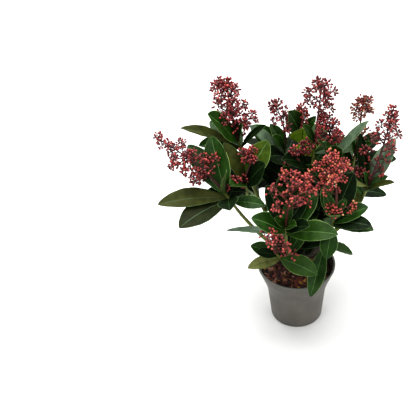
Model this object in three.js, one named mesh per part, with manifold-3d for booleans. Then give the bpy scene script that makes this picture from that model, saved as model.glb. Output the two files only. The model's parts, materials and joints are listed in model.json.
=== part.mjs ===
// A potted skimmia: a small evergreen shrub with red flower buds, in a round nursery pot.
// Millimetres, +Z up. The origin is the middle of the pot's flat underside.
import * as THREE from 'three';
import { mergeVertices } from 'three/addons/utils/BufferGeometryUtils.js';
import Module from 'manifold-3d';

const wasm = await Module();
wasm.setup();

// ---------------------------------------------------------------- driving dimensions
const GAP = 0.3;                    // clearance between two solids that carry each other
const GOLDEN_ANGLE = 137.5;         // degrees from one leaf or twig to the next round a shoot

const POT_HEIGHT = 103;
const POT_RIM_RADIUS = 60;
const POT_LIP = 1.2;                // how far the lip stands out from the band
const POT_LIP_HEIGHT = 3;
const POT_BAND_HEIGHT = 13;         // the band under the lip
const POT_BAND_SLOPE = 2.6;         // how much wider the band is at its top
const POT_FOOT_RADIUS = 40.5;
const POT_FOOT_ROUND = 2;
const POT_SHOULDER_HEIGHT = 52;     // above this the wall flares out to the band
const POT_SHOULDER_RADIUS = 45.3;
const POT_FLARE_POWER = 1.35;
const POT_FLARE_HEIGHTS = [62, 72, 82];   // where the flare's curve has its rings
const POT_WALL = 1.6;
const POT_FLOOR = 3;
const POT_SIDES = 30;
const DRAIN_HOLES = 6;
const DRAIN_RADIUS = 4;
const DRAIN_CIRCLE_RADIUS = 27;

const SOIL_TOP = 93;
const SOIL_LUMP = 5;                // height of the lumps in the potting bark
const SOIL_LEVEL_MARGIN = 3;        // the bark is level this far round the root flare
const SOIL_SIDES = 22;

const CROWN_RADIUS = 9;             // the short stem under the fork
const CROWN_FLARE_RADIUS = 14;
const CROWN_HEIGHT = 22;
const CROWN_SIDES = 16;
const FORK_RADIUS = 4;              // where the main boughs spring from inside the short stem
const FORK_HEIGHT = 16;

const BOUGH_ROOT_RADIUS = 3.6;
const SIDE_BOUGH_ROOT_RADIUS = 2.5;
const BOUGH_TIP_RADIUS = 2.2;
const BOUGH_SIDES = 6;
const BOUGH_STEPS = 6;

const BOUGH_LEAVE = 0.33;           // how far a bough keeps its first direction, per length
const BOUGH_ARRIVE = 0.3;           // and its last
const UPRIGHT = 0.8;                // how strongly a shoot's tip turns up

const WHORL_STEM = 24;              // the length of shoot that carries the leaves
const WHORL_TIP_RADIUS = 1.6;
const WHORL_SIDES = 5;
const LEAF_THICKNESS = 1.5;
const LEAF_STALK_WIDTH = 3;
const LEAF_WIDTH_RATIO = 0.4;       // a blade's width, per length
const LEAF_STATIONS = [0, 0.3, 0.72, 1];
const LEAF_FOLD = 0.16;             // how far the two halves rise from the midrib, per half width
const LEAF_ARCH = 0.09;             // the height of the arch over the chord, per length
const LEAF_DROOP = 0.06;            // how far a level leaf's tip hangs, per length
const BLADE_START = 0.2;            // share of a leaf that may lie in its neighbours' stalks
const LOWEST_LEAF_ANGLE = 88;       // degrees between a leaf and its shoot
const HIGHEST_LEAF_ANGLE = 40;
const INNER_LEAF_RATIO = 0.72;      // the innermost leaf's length, per outer leaf
const LOWEST_LEAF_ROOT = 0.15;      // share of the whorl's stem below a leaf's root
const HIGHEST_LEAF_ROOT = 0.9;
const LEAF_FACES_UP = 0.5;          // how far a leaf faces straight up, per facing its shoot
const LEAF_CLEARANCE = 0.3;

const RACHIS_ROOT_RADIUS = 1.5;     // the flower head's main stalk
const RACHIS_TIP_RADIUS = 0.8;
const RACHIS_SIDES = 4;
const RACHIS_STEPS = 6;
const RACHIS_STRAIGHT = 0.45;       // how far it keeps the shoot's direction, per length
const LAST_TWIG = 0.96;             // share of the main stalk below the last twig
const TWIG_RADIUS = 0.8;
const SHORTEST_TWIG = 11;
const LOWEST_TWIG_ANGLE = 66;       // degrees between a twig and the main stalk
const HIGHEST_TWIG_ANGLE = 30;
const BUD_RADIUS = 4.8;             // larger than life, as each stands for a tuft of buds

// ---------------------------------------------------------------- materials
const paint = (color, roughness) => new THREE.MeshStandardMaterial({ color, roughness, metalness: 0 });
const potPlastic = paint(0x6b6661, 0.6);
const pottingBark = paint(0x3a2218, 0.95);
const oldWood = paint(0x5d5a33, 0.8);
const greenStem = paint(0x6f7a3c, 0.7);
const glossyLeaf = paint(0x24521f, 0.4);
const redBuds = paint(0xb2403f, 0.6);

// ---------------------------------------------------------------- the shoots
// whorl: the bough's tip, where the leaves begin. head: from there to the flower head's tip.
// spread: the flower head's greatest radius. bare: share of its stalk below the first twig.
// leaves: how many the rule deals out, and their length. placed: [bearing, rise, length, width]
// of the leaves that reach out of the whorl, with bearing 0 along +X and 90 along +Y, in degrees.
const shoots = [
  {
    name: 'left_tall', whorl: [-80, 55, 268], head: [-23, 28, 121], spread: 31, bare: 0.2, twigs: 13,
    leaves: 6, length: 80, phase: 60, placed: [[-162, 34, 105, 28], [-145, 57, 92, 36], [-25, 52, 70, 32]],
  },
  {
    name: 'left_low', whorl: [-92, -20, 236], head: [-113, 50, 84], spread: 26, bare: 0.24, twigs: 13,
    leaves: 5, length: 80, phase: 250,
    placed: [[-171, 4, 103, 34], [-144, -4, 86, 38], [134, 32, 100, 32], [114, 55, 90, 38], [-12, 5, 51, 24]],
  },
  {
    name: 'centre_tall', whorl: [25, 60, 262], head: [13, 25, 120], spread: 28, bare: 0.48, twigs: 12,
    leaves: 7, length: 80, phase: 100, placed: [],
  },
  {
    name: 'front', whorl: [-15, -50, 196], head: [16, 20, 95], spread: 43, bare: 0.38, twigs: 17,
    leaves: 5, length: 75, phase: 320,
    placed: [[-25, 22, 86, 36], [180, 32, 58, 30], [173, 4, 88, 18], [135, 58, 74, 36], [35, 44, 76, 34]],
  },
  {
    name: 'right_front', whorl: [50, -40, 204], head: [-2, 30, 117], spread: 32, bare: 0.4, twigs: 15,
    leaves: 5, length: 70, phase: 150,
    placed: [[6, 30, 57, 30], [-15, 8, 60, 32], [50, 55, 77, 32], [-150, 16, 50, 30], [165, 38, 66, 34]],
  },
  {
    name: 'right_far', whorl: [96, 10, 222], head: [40, 45, 127], spread: 26, bare: 0.36, twigs: 12,
    leaves: 5, length: 62, phase: 240,
    placed: [[-160, 72, 108, 30], [150, 68, 90, 28], [-35, 66, 100, 38], [-39, 40, 60, 22]],
  },
  {
    name: 'mid_back', parent: 'left_tall', fork: 0.45, whorl: [-18, 75, 240], head: [-17, 25, 97],
    spread: 17, bare: 0.4, twigs: 8, leaves: 6, length: 75, phase: 30,
    placed: [[-145, 48, 100, 34], [-125, 60, 60, 32], [-115, 35, 70, 32]],
  },
  {
    name: 'left_inner', parent: 'left_tall', fork: 0.5, whorl: [-72, 8, 232], head: [10, 4, 58],
    spread: 12, bare: 0.5, twigs: 5, leaves: 4, length: 70, phase: 300,
    placed: [[-22, 58, 60, 32], [163, 72, 77, 26], [60, 50, 80, 32]],
  },
  {
    name: 'back_centre', parent: 'centre_tall', fork: 0.5, whorl: [10, 100, 244], head: [-5, 10, 69],
    spread: 17, bare: 0.45, twigs: 7, leaves: 7, length: 80, phase: 10,
    placed: [[-140, 68, 72, 30], [-90, 57, 62, 34]],
  },
  {
    name: 'right_back', parent: 'centre_tall', fork: 0.4, whorl: [50, 50, 236], head: [-14, 24, 92],
    spread: 26, bare: 0.36, twigs: 12, leaves: 6, length: 75, phase: 120,
    placed: [[-26, 60, 108, 26], [-75, 60, 80, 28]],
  },
  {
    name: 'right_narrow', parent: 'right_far', fork: 0.5, whorl: [84, 66, 232], head: [14, 24, 120],
    spread: 20, bare: 0.6, twigs: 9, leaves: 6, length: 75, phase: 330, placed: [],
  },
  {
    name: 'low_left', parent: 'front', fork: 0.35, whorl: [-22, -40, 146], head: [-8, -36, 70],
    spread: 33, bare: 0.35, twigs: 12, leaves: 2, length: 50, phase: 80,
    placed: [[-38, 8, 69, 30], [-166, -7, 50, 26], [-175, 32, 48, 28]],
  },
  {
    name: 'low_right', parent: 'right_front', fork: 0.35, whorl: [40, -14, 146], leaves: 1, length: 55,
    phase: 110, placed: [[-79, 10, 44, 30], [-3, -14, 44, 26], [-108, -31, 79, 31]],
  },
  {
    name: 'back_left', parent: 'left_tall', fork: 0.3, whorl: [-62, 88, 170], head: [-22, 18, 66],
    spread: 22, bare: 0.4, twigs: 7, leaves: 8, length: 80, phase: 0, placed: [],
  },
  {
    name: 'back_middle', parent: 'centre_tall', fork: 0.28, whorl: [-5, 108, 160], head: [0, 22, 62],
    spread: 22, bare: 0.4, twigs: 7, leaves: 8, length: 80, phase: 210, placed: [],
  },
  {
    name: 'back_right', parent: 'right_far', fork: 0.3, whorl: [72, 84, 166], head: [14, 14, 58],
    spread: 20, bare: 0.4, twigs: 7, leaves: 8, length: 80, phase: 90, placed: [],
  },
];

// ---------------------------------------------------------------- helpers
const { degToRad, lerp, clamp } = THREE.MathUtils;
const vec = (x, y, z) => new THREE.Vector3(x, y, z);
const point2 = (x, y) => new THREE.Vector2(x, y);

// A steady pseudo-random number from 0 to 1 for draw k of a seed.
function chance(seed, k) {
  const x = Math.sin(seed * 12.9898 + k * 78.233) * 43758.5453;
  return x - Math.floor(x);
}

function solidOf(geometry) {
  const bare = geometry.clone();
  bare.deleteAttribute('normal');
  bare.deleteAttribute('uv');
  const merged = mergeVertices(bare);
  const mesh = new wasm.Mesh({
    numProp: 3,
    vertProperties: new Float32Array(merged.attributes.position.array),
    triVerts: new Uint32Array(merged.index.array),
  });
  return new wasm.Manifold(mesh);
}

function geometryOf(solid) {
  const mesh = solid.getMesh();
  const geometry = new THREE.BufferGeometry();
  geometry.setAttribute('position', new THREE.BufferAttribute(mesh.vertProperties, 3));
  geometry.setIndex(new THREE.BufferAttribute(mesh.triVerts, 1));
  return geometry;
}

// Bends a unit cylinder, or a cone where pointed, along a curve, with a section at each of the
// stations from 0 to 1. profile(t) gives the section's half width, half height and fold, and up
// is its upper side.
function sweep(curve, { sides, stations, profile, up, pointed = false }) {
  const steps = stations.length - 1;
  const blank = new THREE.CylinderGeometry(pointed ? 0 : 1, 1, 1, sides, steps);
  const position = blank.attributes.position;
  for (let i = 0; i < position.count; i += 1) {
    const t = stations[Math.round((position.getY(i) + 0.5) * steps)];
    const ring = Math.hypot(position.getX(i), position.getZ(i));
    const across = ring > 1e-6 ? position.getX(i) / ring : 0;
    const above = ring > 1e-6 ? position.getZ(i) / ring : 0;
    const tangent = curve.getTangent(t);
    const side = vec(0, 0, 0).crossVectors(tangent, up).normalize();
    const normal = vec(0, 0, 0).crossVectors(side, tangent);
    const { width, height, fold } = profile(t);
    const point = curve.getPoint(t)
      .addScaledVector(side, across * width)
      .addScaledVector(normal, above * height + Math.abs(across) * fold * width);
    position.setXYZ(i, point.x, point.y, point.z);
  }
  return blank;
}

function squareTo(direction) {
  const away = Math.abs(direction.z) > 0.9 ? vec(1, 0, 0) : vec(0, 0, 1);
  return away.cross(direction).normalize();
}

// The direction that leans so many degrees from an axis, at a bearing round it.
function leaning(axis, bearing, lean) {
  const first = squareTo(axis);
  const second = vec(0, 0, 0).crossVectors(axis, first);
  return first.multiplyScalar(Math.cos(degToRad(bearing)))
    .addScaledVector(second, Math.sin(degToRad(bearing)))
    .multiplyScalar(Math.sin(degToRad(lean)))
    .addScaledVector(axis, Math.cos(degToRad(lean)));
}

// A round limb that tapers evenly along a curve. grow thickens it all over.
function limb(curve, rootRadius, tipRadius, sides, steps, grow = 0) {
  const up = squareTo(curve.getTangent(0.5));
  const radius = (t) => lerp(rootRadius, tipRadius, t) + grow;
  const profile = (t) => ({ width: radius(t), height: radius(t), fold: 0 });
  const stations = Array.from({ length: steps + 1 }, (_, i) => i / steps);
  return sweep(curve, { sides, stations, profile, up });
}

// ---------------------------------------------------------------- nodes and their pieces
const plant = new THREE.Group();
const pieces = [];

function addMesh(node, geometry, material) {
  const mesh = new THREE.Mesh(geometry, material);
  mesh.name = node;
  plant.add(mesh);
}

function place(node, geometry, solid = solidOf(geometry)) {
  geometry.computeBoundingBox();
  pieces.push({ node, solid, box: geometry.boundingBox });
}

// Whether a geometry cuts into any piece that the test picks.
function touches(geometry, isTested) {
  geometry.computeBoundingBox();
  const near = pieces.filter((piece) => isTested(piece) && piece.box.intersectsBox(geometry.boundingBox));
  if (near.length === 0) return false;
  const solid = solidOf(geometry);
  return near.some((piece) => !solid.intersect(piece.solid).isEmpty());
}

// Joins all the pieces of a node into one solid.
function finish(node, material) {
  const own = pieces.filter((piece) => piece.node === node);
  const whole = own.slice(1).reduce((sum, piece) => sum.add(piece.solid), own[0].solid);
  addMesh(node, geometryOf(whole), material);
}

// ---------------------------------------------------------------- pot and bark
// three.js turns a lathe about Y, so it is stood up on Z.
const lathe = (profile, sides) => new THREE.LatheGeometry(profile, sides).rotateX(Math.PI / 2);

// The outside of the pot at a height: a slow taper, then a flare up to the band under the lip.
function wallRadius(z) {
  const bandFoot = POT_HEIGHT - POT_BAND_HEIGHT;
  const bandRadius = POT_RIM_RADIUS - POT_LIP - POT_BAND_SLOPE;
  if (z <= POT_SHOULDER_HEIGHT) return lerp(POT_FOOT_RADIUS, POT_SHOULDER_RADIUS, z / POT_SHOULDER_HEIGHT);
  if (z >= bandFoot) return bandRadius + POT_BAND_SLOPE * (z - bandFoot) / POT_BAND_HEIGHT;
  const flare = (z - POT_SHOULDER_HEIGHT) / (bandFoot - POT_SHOULDER_HEIGHT);
  return lerp(POT_SHOULDER_RADIUS, bandRadius, Math.pow(flare, POT_FLARE_POWER));
}

function pot() {
  const bandFoot = POT_HEIGHT - POT_BAND_HEIGHT;
  const lipFoot = POT_HEIGHT - POT_LIP_HEIGHT;
  const outsideHeights = [POT_FOOT_ROUND, POT_SHOULDER_HEIGHT, ...POT_FLARE_HEIGHTS, bandFoot, lipFoot];
  const insideHeights = [lipFoot, bandFoot, POT_FLARE_HEIGHTS[1], POT_SHOULDER_HEIGHT, POT_FLOOR];
  const outside = outsideHeights.map((z) => point2(wallRadius(z), z));
  const inside = insideHeights.map((z) => point2(wallRadius(z) - POT_WALL, z));
  const profile = [
    point2(0, 0),
    point2(POT_FOOT_RADIUS - POT_FOOT_ROUND, 0),
    ...outside,
    point2(POT_RIM_RADIUS, lipFoot),
    point2(POT_RIM_RADIUS, POT_HEIGHT),
    point2(POT_RIM_RADIUS - POT_LIP - POT_WALL, POT_HEIGHT),
    ...inside,
    point2(0, POT_FLOOR),
  ];
  let solid = solidOf(lathe(profile, POT_SIDES));
  for (let k = 0; k < DRAIN_HOLES; k += 1) {
    const turn = (k + 0.5) / DRAIN_HOLES * Math.PI * 2;
    const drill = new THREE.CylinderGeometry(DRAIN_RADIUS, DRAIN_RADIUS, POT_FLOOR * 3, 10);
    drill.rotateX(Math.PI / 2);
    drill.translate(DRAIN_CIRCLE_RADIUS * Math.cos(turn), DRAIN_CIRCLE_RADIUS * Math.sin(turn), 0);
    solid = solid.subtract(solidOf(drill));
  }
  place('pot', geometryOf(solid), solid);
  finish('pot', potPlastic);
}

// The potting bark fills the pot to just under the rim, level under the root crown, lumpy round it.
function soil() {
  const clear = POT_WALL + GAP;
  const sideHeights = [POT_FLOOR + GAP, POT_SHOULDER_HEIGHT, POT_FLARE_HEIGHTS[1], SOIL_TOP - SOIL_LUMP];
  const edge = wallRadius(SOIL_TOP - SOIL_LUMP) - clear;
  const levelRadius = CROWN_FLARE_RADIUS + SOIL_LEVEL_MARGIN;
  const lumpyHeight = SOIL_TOP - 1;
  const profile = [
    point2(0, POT_FLOOR + GAP),
    ...sideHeights.map((z) => point2(wallRadius(z) - clear, z)),
    point2(lerp(levelRadius, edge, 0.7), lumpyHeight),
    point2(lerp(levelRadius, edge, 0.35), lumpyHeight),
    point2(levelRadius, SOIL_TOP),
    point2(0, SOIL_TOP),
  ];
  const geometry = lathe(profile, SOIL_SIDES);
  const position = geometry.attributes.position;
  for (let i = 0; i < position.count; i += 1) {
    const turn = Math.atan2(position.getY(i), position.getX(i)) / (Math.PI * 2);
    const around = Math.round((turn + 1) * SOIL_SIDES) % SOIL_SIDES;
    const reach = Math.round(Math.hypot(position.getX(i), position.getY(i)));
    const isLumpy = Math.abs(position.getZ(i) - lumpyHeight) < 0.01;
    if (isLumpy) position.setZ(i, SOIL_TOP - SOIL_LUMP * chance(reach, around));
  }
  place('potting_bark', geometry);
  finish('potting_bark', pottingBark);
}

// ---------------------------------------------------------------- stems
// The short stem stands on the bark on a flat cut, with a root flare, and ends at the fork.
function crownShape(grow = 0) {
  const foot = SOIL_TOP + GAP;
  return lathe([
    point2(0, foot),
    point2(CROWN_FLARE_RADIUS + grow, foot),
    point2(lerp(CROWN_RADIUS, CROWN_FLARE_RADIUS, 0.3) + grow, foot + CROWN_HEIGHT * 0.3),
    point2(CROWN_RADIUS + grow, foot + CROWN_HEIGHT * 0.7),
    point2(CROWN_RADIUS * 0.7 + grow, foot + CROWN_HEIGHT + grow),
    point2(0, foot + CROWN_HEIGHT * 1.05 + grow),
  ], CROWN_SIDES);
}

function rootCrown() {
  place('root_crown', crownShape());
  finish('root_crown', oldWood);
}

// A main bough springs from the root crown, and a side bough from a point along its parent.
function boughCurve(shoot) {
  const whorl = vec(...shoot.whorl);
  const parent = shoots.find((other) => other.name === shoot.parent);
  const outward = vec(whorl.x, whorl.y, 0).normalize();
  const root = outward.clone().multiplyScalar(FORK_RADIUS).setZ(SOIL_TOP + FORK_HEIGHT);
  const start = parent ? parent.bough.getPoint(shoot.fork) : root;
  const chord = whorl.clone().sub(start);
  const length = chord.length();
  const way = parent
    ? parent.bough.getTangent(shoot.fork).addScaledVector(chord, 1 / length).normalize()
    : outward.setZ(1).normalize();
  const rise = shoot.head ? vec(...shoot.head).normalize() : vec(0, 0, 1);
  shoot.axis = rise.addScaledVector(chord, 1 / length).add(vec(0, 0, UPRIGHT)).normalize();
  const leave = start.clone().addScaledVector(way, length * BOUGH_LEAVE);
  const arrive = whorl.clone().addScaledVector(shoot.axis, -length * BOUGH_ARRIVE);
  return new THREE.CubicBezierCurve3(start, leave, arrive, whorl);
}

// Every bough is one tapering limb, cut clear of what it springs from and of the boughs beside it.
function boughs() {
  const grown = [solidOf(crownShape(GAP))];
  for (const shoot of shoots) {
    shoot.bough = boughCurve(shoot);
    const rootRadius = shoot.parent ? SIDE_BOUGH_ROOT_RADIUS : BOUGH_ROOT_RADIUS;
    const whole = limb(shoot.bough, rootRadius, BOUGH_TIP_RADIUS, BOUGH_SIDES, BOUGH_STEPS);
    const solid = grown.reduce((rest, other) => rest.subtract(other), solidOf(whole));
    place(`bough_${shoot.name}`, whole, solid);
    const swollen = limb(shoot.bough, rootRadius, BOUGH_TIP_RADIUS, BOUGH_SIDES, BOUGH_STEPS, GAP);
    grown.push(solidOf(swollen));
    finish(`bough_${shoot.name}`, greenStem);
  }
}

// The end of a bough goes on as the whorl's stem, which carries the leaves.
function whorlStems() {
  for (const shoot of shoots) {
    const foot = vec(...shoot.whorl).addScaledVector(shoot.axis, GAP);
    const top = foot.clone().addScaledVector(shoot.axis, WHORL_STEM);
    shoot.stem = new THREE.LineCurve3(foot, top);
    place(`whorl_${shoot.name}`, limb(shoot.stem, BOUGH_TIP_RADIUS, WHORL_TIP_RADIUS, WHORL_SIDES, 1));
  }
}

// ---------------------------------------------------------------- flower heads
// The main stalk goes on from the whorl's stem and bends over to the head's tip.
function rachises() {
  for (const shoot of shoots.filter((other) => other.head)) {
    const foot = shoot.stem.v2.clone().addScaledVector(shoot.axis, GAP);
    const tip = vec(...shoot.whorl).add(vec(...shoot.head));
    const bend = foot.clone().addScaledVector(shoot.axis, foot.distanceTo(tip) * RACHIS_STRAIGHT);
    shoot.rachis = new THREE.QuadraticBezierCurve3(foot, bend, tip);
    const stalk = limb(shoot.rachis, RACHIS_ROOT_RADIUS, RACHIS_TIP_RADIUS, RACHIS_SIDES, RACHIS_STEPS);
    place(`head_${shoot.name}`, stalk);
  }
}

// The head's outline: its half width at s from 0, the first twig, to 1, the tip.
const headWidth = (s) => Math.pow(Math.sin(Math.PI * (0.25 + 0.67 * s)), 0.8);

// One twig with the bud on its tip, in one piece. grow thickens it all over.
function budTwig(base, tip, grow = 0) {
  const length = base.distanceTo(tip) + grow;
  const budFoot = 1 - 2 * (BUD_RADIUS + grow) / length;
  const budMiddle = 1 - (BUD_RADIUS + grow) / length;
  const radius = (t) => (t === budMiddle ? BUD_RADIUS : TWIG_RADIUS) + grow;
  return sweep(new THREE.LineCurve3(base, tip), {
    sides: 3,
    stations: [0, budFoot, budMiddle, 1],
    profile: (t) => ({ width: radius(t), height: radius(t), fold: 0 }),
    up: squareTo(tip.clone().sub(base).normalize()),
    pointed: true,
  });
}

// A twig that finds its way blocked turns or rises by so many degrees, or is left out.
const TWIG_DETOURS = [[0, 0], [25, 0], [-25, 0], [0, -16], [25, -16], [-25, -16]];

function heads() {
  for (const shoot of shoots.filter((other) => other.head)) {
    const node = `head_${shoot.name}`;
    for (let i = 0; i < shoot.twigs; i += 1) {
      const s = (i + 0.5) / shoot.twigs;
      const t = lerp(shoot.bare, LAST_TWIG, s);
      const base = shoot.rachis.getPoint(t);
      const lean = lerp(LOWEST_TWIG_ANGLE, HIGHEST_TWIG_ANGLE, s);
      const reach = shoot.spread * headWidth(s) * lerp(0.85, 1.05, chance(shoot.phase, i));
      TWIG_DETOURS.some(([aside, lift]) => {
        const turn = shoot.phase + i * GOLDEN_ANGLE + aside;
        const direction = leaning(shoot.rachis.getTangent(t), turn, lean + lift);
        const tip = base.clone().addScaledVector(direction, Math.max(SHORTEST_TWIG, reach));
        if (touches(budTwig(base, tip, GAP), (piece) => piece.node !== node)) return false;
        place(node, budTwig(base, tip));
        return true;
      });
    }
  }
}

// ---------------------------------------------------------------- leaves
// A leaf's outline: a narrow stalk that widens to a blade, widest past the middle.
const bladeWidth = (t) => Math.pow(Math.sin(Math.PI * Math.pow(t, 1.27)), 0.8);

function leaf(base, direction, length, width, axis, { grow = 0, start = 0 } = {}) {
  const flat = 1 - direction.z * direction.z;
  const tip = base.clone().addScaledVector(direction, length);
  tip.z -= LEAF_DROOP * length * flat;
  const chord = tip.clone().sub(base);
  const facing = axis.clone().addScaledVector(vec(0, 0, 1), LEAF_FACES_UP);
  const up = facing.addScaledVector(chord, -facing.dot(chord) / chord.lengthSq()).normalize();
  const arch = LEAF_ARCH * Math.sin(direction.angleTo(axis));
  const middle = base.clone().addScaledVector(chord, 0.5).addScaledVector(up, 2 * arch * length);
  const profile = (t) => ({
    width: Math.max(LEAF_STALK_WIDTH, bladeWidth(t) * width) / 2 + grow,
    height: LEAF_THICKNESS / 2 + grow,
    fold: LEAF_FOLD,
  });
  const curve = new THREE.QuadraticBezierCurve3(base, middle, tip);
  const stations = LEAF_STATIONS.map((t) => lerp(start, 1, t));
  return sweep(curve, { sides: 4, stations, profile, up, pointed: true });
}

// Puts a leaf on its whorl if it is clear of every other node and of the blades beside it.
function tryLeaf(shoot, share, direction, length, width) {
  const node = `whorl_${shoot.name}`;
  const base = shoot.stem.getPoint(share);
  const swollen = leaf(base, direction, length, width, shoot.axis, { grow: LEAF_CLEARANCE });
  if (touches(swollen, (piece) => piece.node !== node)) return false;
  const blade = leaf(base, direction, length, width, shoot.axis, { start: BLADE_START });
  if (touches(blade, (piece) => piece.node === node)) return false;
  place(node, leaf(base, direction, length, width, shoot.axis));
  return true;
}

// A leaf that finds its way blocked turns or lifts by so many degrees, and is left out if each
// of these is blocked too.
const PLACED_DETOURS = [[0, 0], [6, 0], [-6, 0], [0, 6], [0, -6], [12, -4], [-12, -4], [12, 6], [-12, 6]];
const RULED_DETOURS = [[0, 0], [18, 0], [-18, 0], [0, -16], [18, -16], [-18, -16], [34, -8], [-34, -8]];

// The leaves that reach out of a whorl. The more a leaf leans away, the lower it is rooted.
function placedLeaves() {
  for (const shoot of shoots) {
    for (const [bearing, rise, length, width] of shoot.placed) {
      PLACED_DETOURS.some(([aside, lift]) => {
        const level = Math.cos(degToRad(rise + lift));
        const across = level * Math.cos(degToRad(bearing + aside));
        const away = level * Math.sin(degToRad(bearing + aside));
        const direction = vec(across, away, Math.sin(degToRad(rise + lift)));
        const share = clamp(0.95 - direction.angleTo(shoot.axis) / 2, LOWEST_LEAF_ROOT, HIGHEST_LEAF_ROOT);
        return tryLeaf(shoot, share, direction, length, width);
      });
    }
  }
}

function ruledLeaves() {
  const most = Math.max(...shoots.map((shoot) => shoot.leaves));
  for (let k = 0; k < most; k += 1) {
    for (const shoot of shoots.filter((other) => k < other.leaves)) {
      const share = (k + 0.5) / shoot.leaves;
      const lean = lerp(LOWEST_LEAF_ANGLE, HIGHEST_LEAF_ANGLE, share);
      const length = shoot.length * lerp(1, INNER_LEAF_RATIO, share);
      const turn = shoot.phase + k * GOLDEN_ANGLE;
      RULED_DETOURS.some(([aside, lift]) => {
        const direction = leaning(shoot.axis, turn + aside, lean + lift);
        const root = lerp(LOWEST_LEAF_ROOT, HIGHEST_LEAF_ROOT, share);
        return tryLeaf(shoot, root, direction, length, length * LEAF_WIDTH_RATIO);
      });
    }
  }
}

// ---------------------------------------------------------------- assembly
pot();
soil();
rootCrown();
boughs();
whorlStems();
rachises();
placedLeaves();
heads();
ruledLeaves();
for (const shoot of shoots) finish(`whorl_${shoot.name}`, glossyLeaf);
for (const shoot of shoots.filter((other) => other.head)) finish(`head_${shoot.name}`, redBuds);

export default plant;
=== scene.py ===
# %% [markdown]
# # A potted skimmia
# A skimmia is a small evergreen shrub. Leathery leaves crowd round the end of each shoot, and a
# stalked head of round red flower buds stands over them. This one grows in a nursery pot. The packed
# model already holds its plain solids at the right size and place. Here each of them is replaced
# by the same plant in fine detail: bark with relief, leaves with veins, and every single bud.

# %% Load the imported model
import json
import math

import bpy
import numpy as np
from mathutils import Matrix, Vector, noise
from mathutils.bvhtree import BVHTree

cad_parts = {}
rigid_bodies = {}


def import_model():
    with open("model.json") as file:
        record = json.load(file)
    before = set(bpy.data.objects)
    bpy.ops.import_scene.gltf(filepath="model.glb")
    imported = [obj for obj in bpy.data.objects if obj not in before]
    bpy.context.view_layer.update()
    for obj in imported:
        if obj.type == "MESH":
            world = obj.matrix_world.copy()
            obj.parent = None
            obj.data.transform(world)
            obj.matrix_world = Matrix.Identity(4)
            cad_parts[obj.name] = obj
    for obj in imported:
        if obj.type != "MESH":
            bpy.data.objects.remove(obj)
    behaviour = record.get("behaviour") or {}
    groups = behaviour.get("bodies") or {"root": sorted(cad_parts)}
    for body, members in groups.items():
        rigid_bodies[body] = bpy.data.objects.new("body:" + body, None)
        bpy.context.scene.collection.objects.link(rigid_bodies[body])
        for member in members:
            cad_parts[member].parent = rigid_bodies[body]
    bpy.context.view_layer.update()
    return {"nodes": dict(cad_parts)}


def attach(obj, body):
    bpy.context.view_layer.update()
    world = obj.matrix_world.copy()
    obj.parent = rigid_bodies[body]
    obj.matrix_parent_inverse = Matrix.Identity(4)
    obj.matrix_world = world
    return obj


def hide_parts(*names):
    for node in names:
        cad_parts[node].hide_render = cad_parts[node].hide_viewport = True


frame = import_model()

# %% [markdown]
# ## The camera
# The plant is seen from above and in front, off to the right of the image's middle. A camera
# that is turned just enough to put the rim of the pot on its place in the image keeps true
# perspective, which a sideways shift of the lens would not. Two frames are built, one round the
# line to the rim in the room and one round the same line in the image, and the camera is the
# turn from the second to the first. Both frames use the vertical, so the pot stands upright.

# %% Camera
IMAGE_SIDE = 416
FOCAL_PIXELS = 849.3
RIM_PIXEL = (296.4, 262.5)
CAMERA_DISTANCE = 1.333
CAMERA_RISE = math.radians(42.5)
SENSOR = 36.0
POT_HEIGHT = 0.103


def put(name, data):
    """A new object of the data, placed in the scene."""
    obj = bpy.data.objects.new(name, data)
    bpy.context.scene.collection.objects.link(obj)
    return obj


def frame_round(line, vertical):
    """A turn whose first axis is the line and whose second is square to it and to the vertical."""
    first = line.normalized()
    second = first.cross(vertical).normalized()
    return Matrix((first, second, first.cross(second))).transposed()


rim_centre = Vector((0, 0, POT_HEIGHT))
away = Vector((0, -math.cos(CAMERA_RISE), math.sin(CAMERA_RISE)))
in_image = Vector((RIM_PIXEL[0] - IMAGE_SIDE / 2, IMAGE_SIDE / 2 - RIM_PIXEL[1], -FOCAL_PIXELS))
turn = frame_round(-away, Vector((0, 0, 1))) @ frame_round(in_image, Vector((0, 1, 0))).transposed()

camera_data = bpy.data.cameras.new("camera")
camera_data.sensor_width = SENSOR
camera_data.lens = FOCAL_PIXELS * SENSOR / IMAGE_SIDE
camera = put("camera", camera_data)
camera.matrix_world = Matrix.Translation(rim_centre + away * CAMERA_DISTANCE) @ turn.to_4x4()
bpy.context.scene.camera = camera
print("lens:", round(camera_data.lens, 2), "mm, camera at", [round(v, 3) for v in camera.location])

# %% [markdown]
# ## Studio
# A plain white studio: one wide pale floor, white light from all round, and three large soft
# lamps. The overhead lamp gives the leaves their broad shine, and the lamps at the sides keep the
# shade under the crown open. The standard view transform keeps white white, where a filmic one
# would turn the floor grey and the buds pale.

# %% Studio floor and lights
FLOOR_SIZE = 12.0
FLOOR_COLOUR = (216, 216, 215)
WORLD_STRENGTH = 0.5
LAMPS_AIM = Vector((0, 0, 0.2))
# name: place, size, watts
LAMPS = {
    "overhead": ((-0.1, 0.7, 1.85), 2.5, 90.0),
    "front_left": ((-1.0, -1.4, 1.8), 1.4, 20.0),
    "front_right": ((1.4, -1.1, 0.9), 1.0, 12.0),
}


def srgb(red, green, blue):
    """A colour given in the usual 0 to 255 steps, as the linear numbers that Blender mixes."""
    steps = [v / 255 for v in (red, green, blue)]
    return tuple(v / 12.92 if v <= 0.04045 else ((v + 0.055) / 1.055) ** 2.4 for v in steps) + (1.0,)


world = bpy.data.worlds.new("white_room")
world.use_nodes = True
world.node_tree.nodes["Background"].inputs["Color"].default_value = (1, 1, 1, 1)
world.node_tree.nodes["Background"].inputs["Strength"].default_value = WORLD_STRENGTH
bpy.context.scene.world = world
bpy.context.scene.view_settings.view_transform = "Standard"
bpy.context.scene.view_settings.look = "Medium High Contrast"

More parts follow.
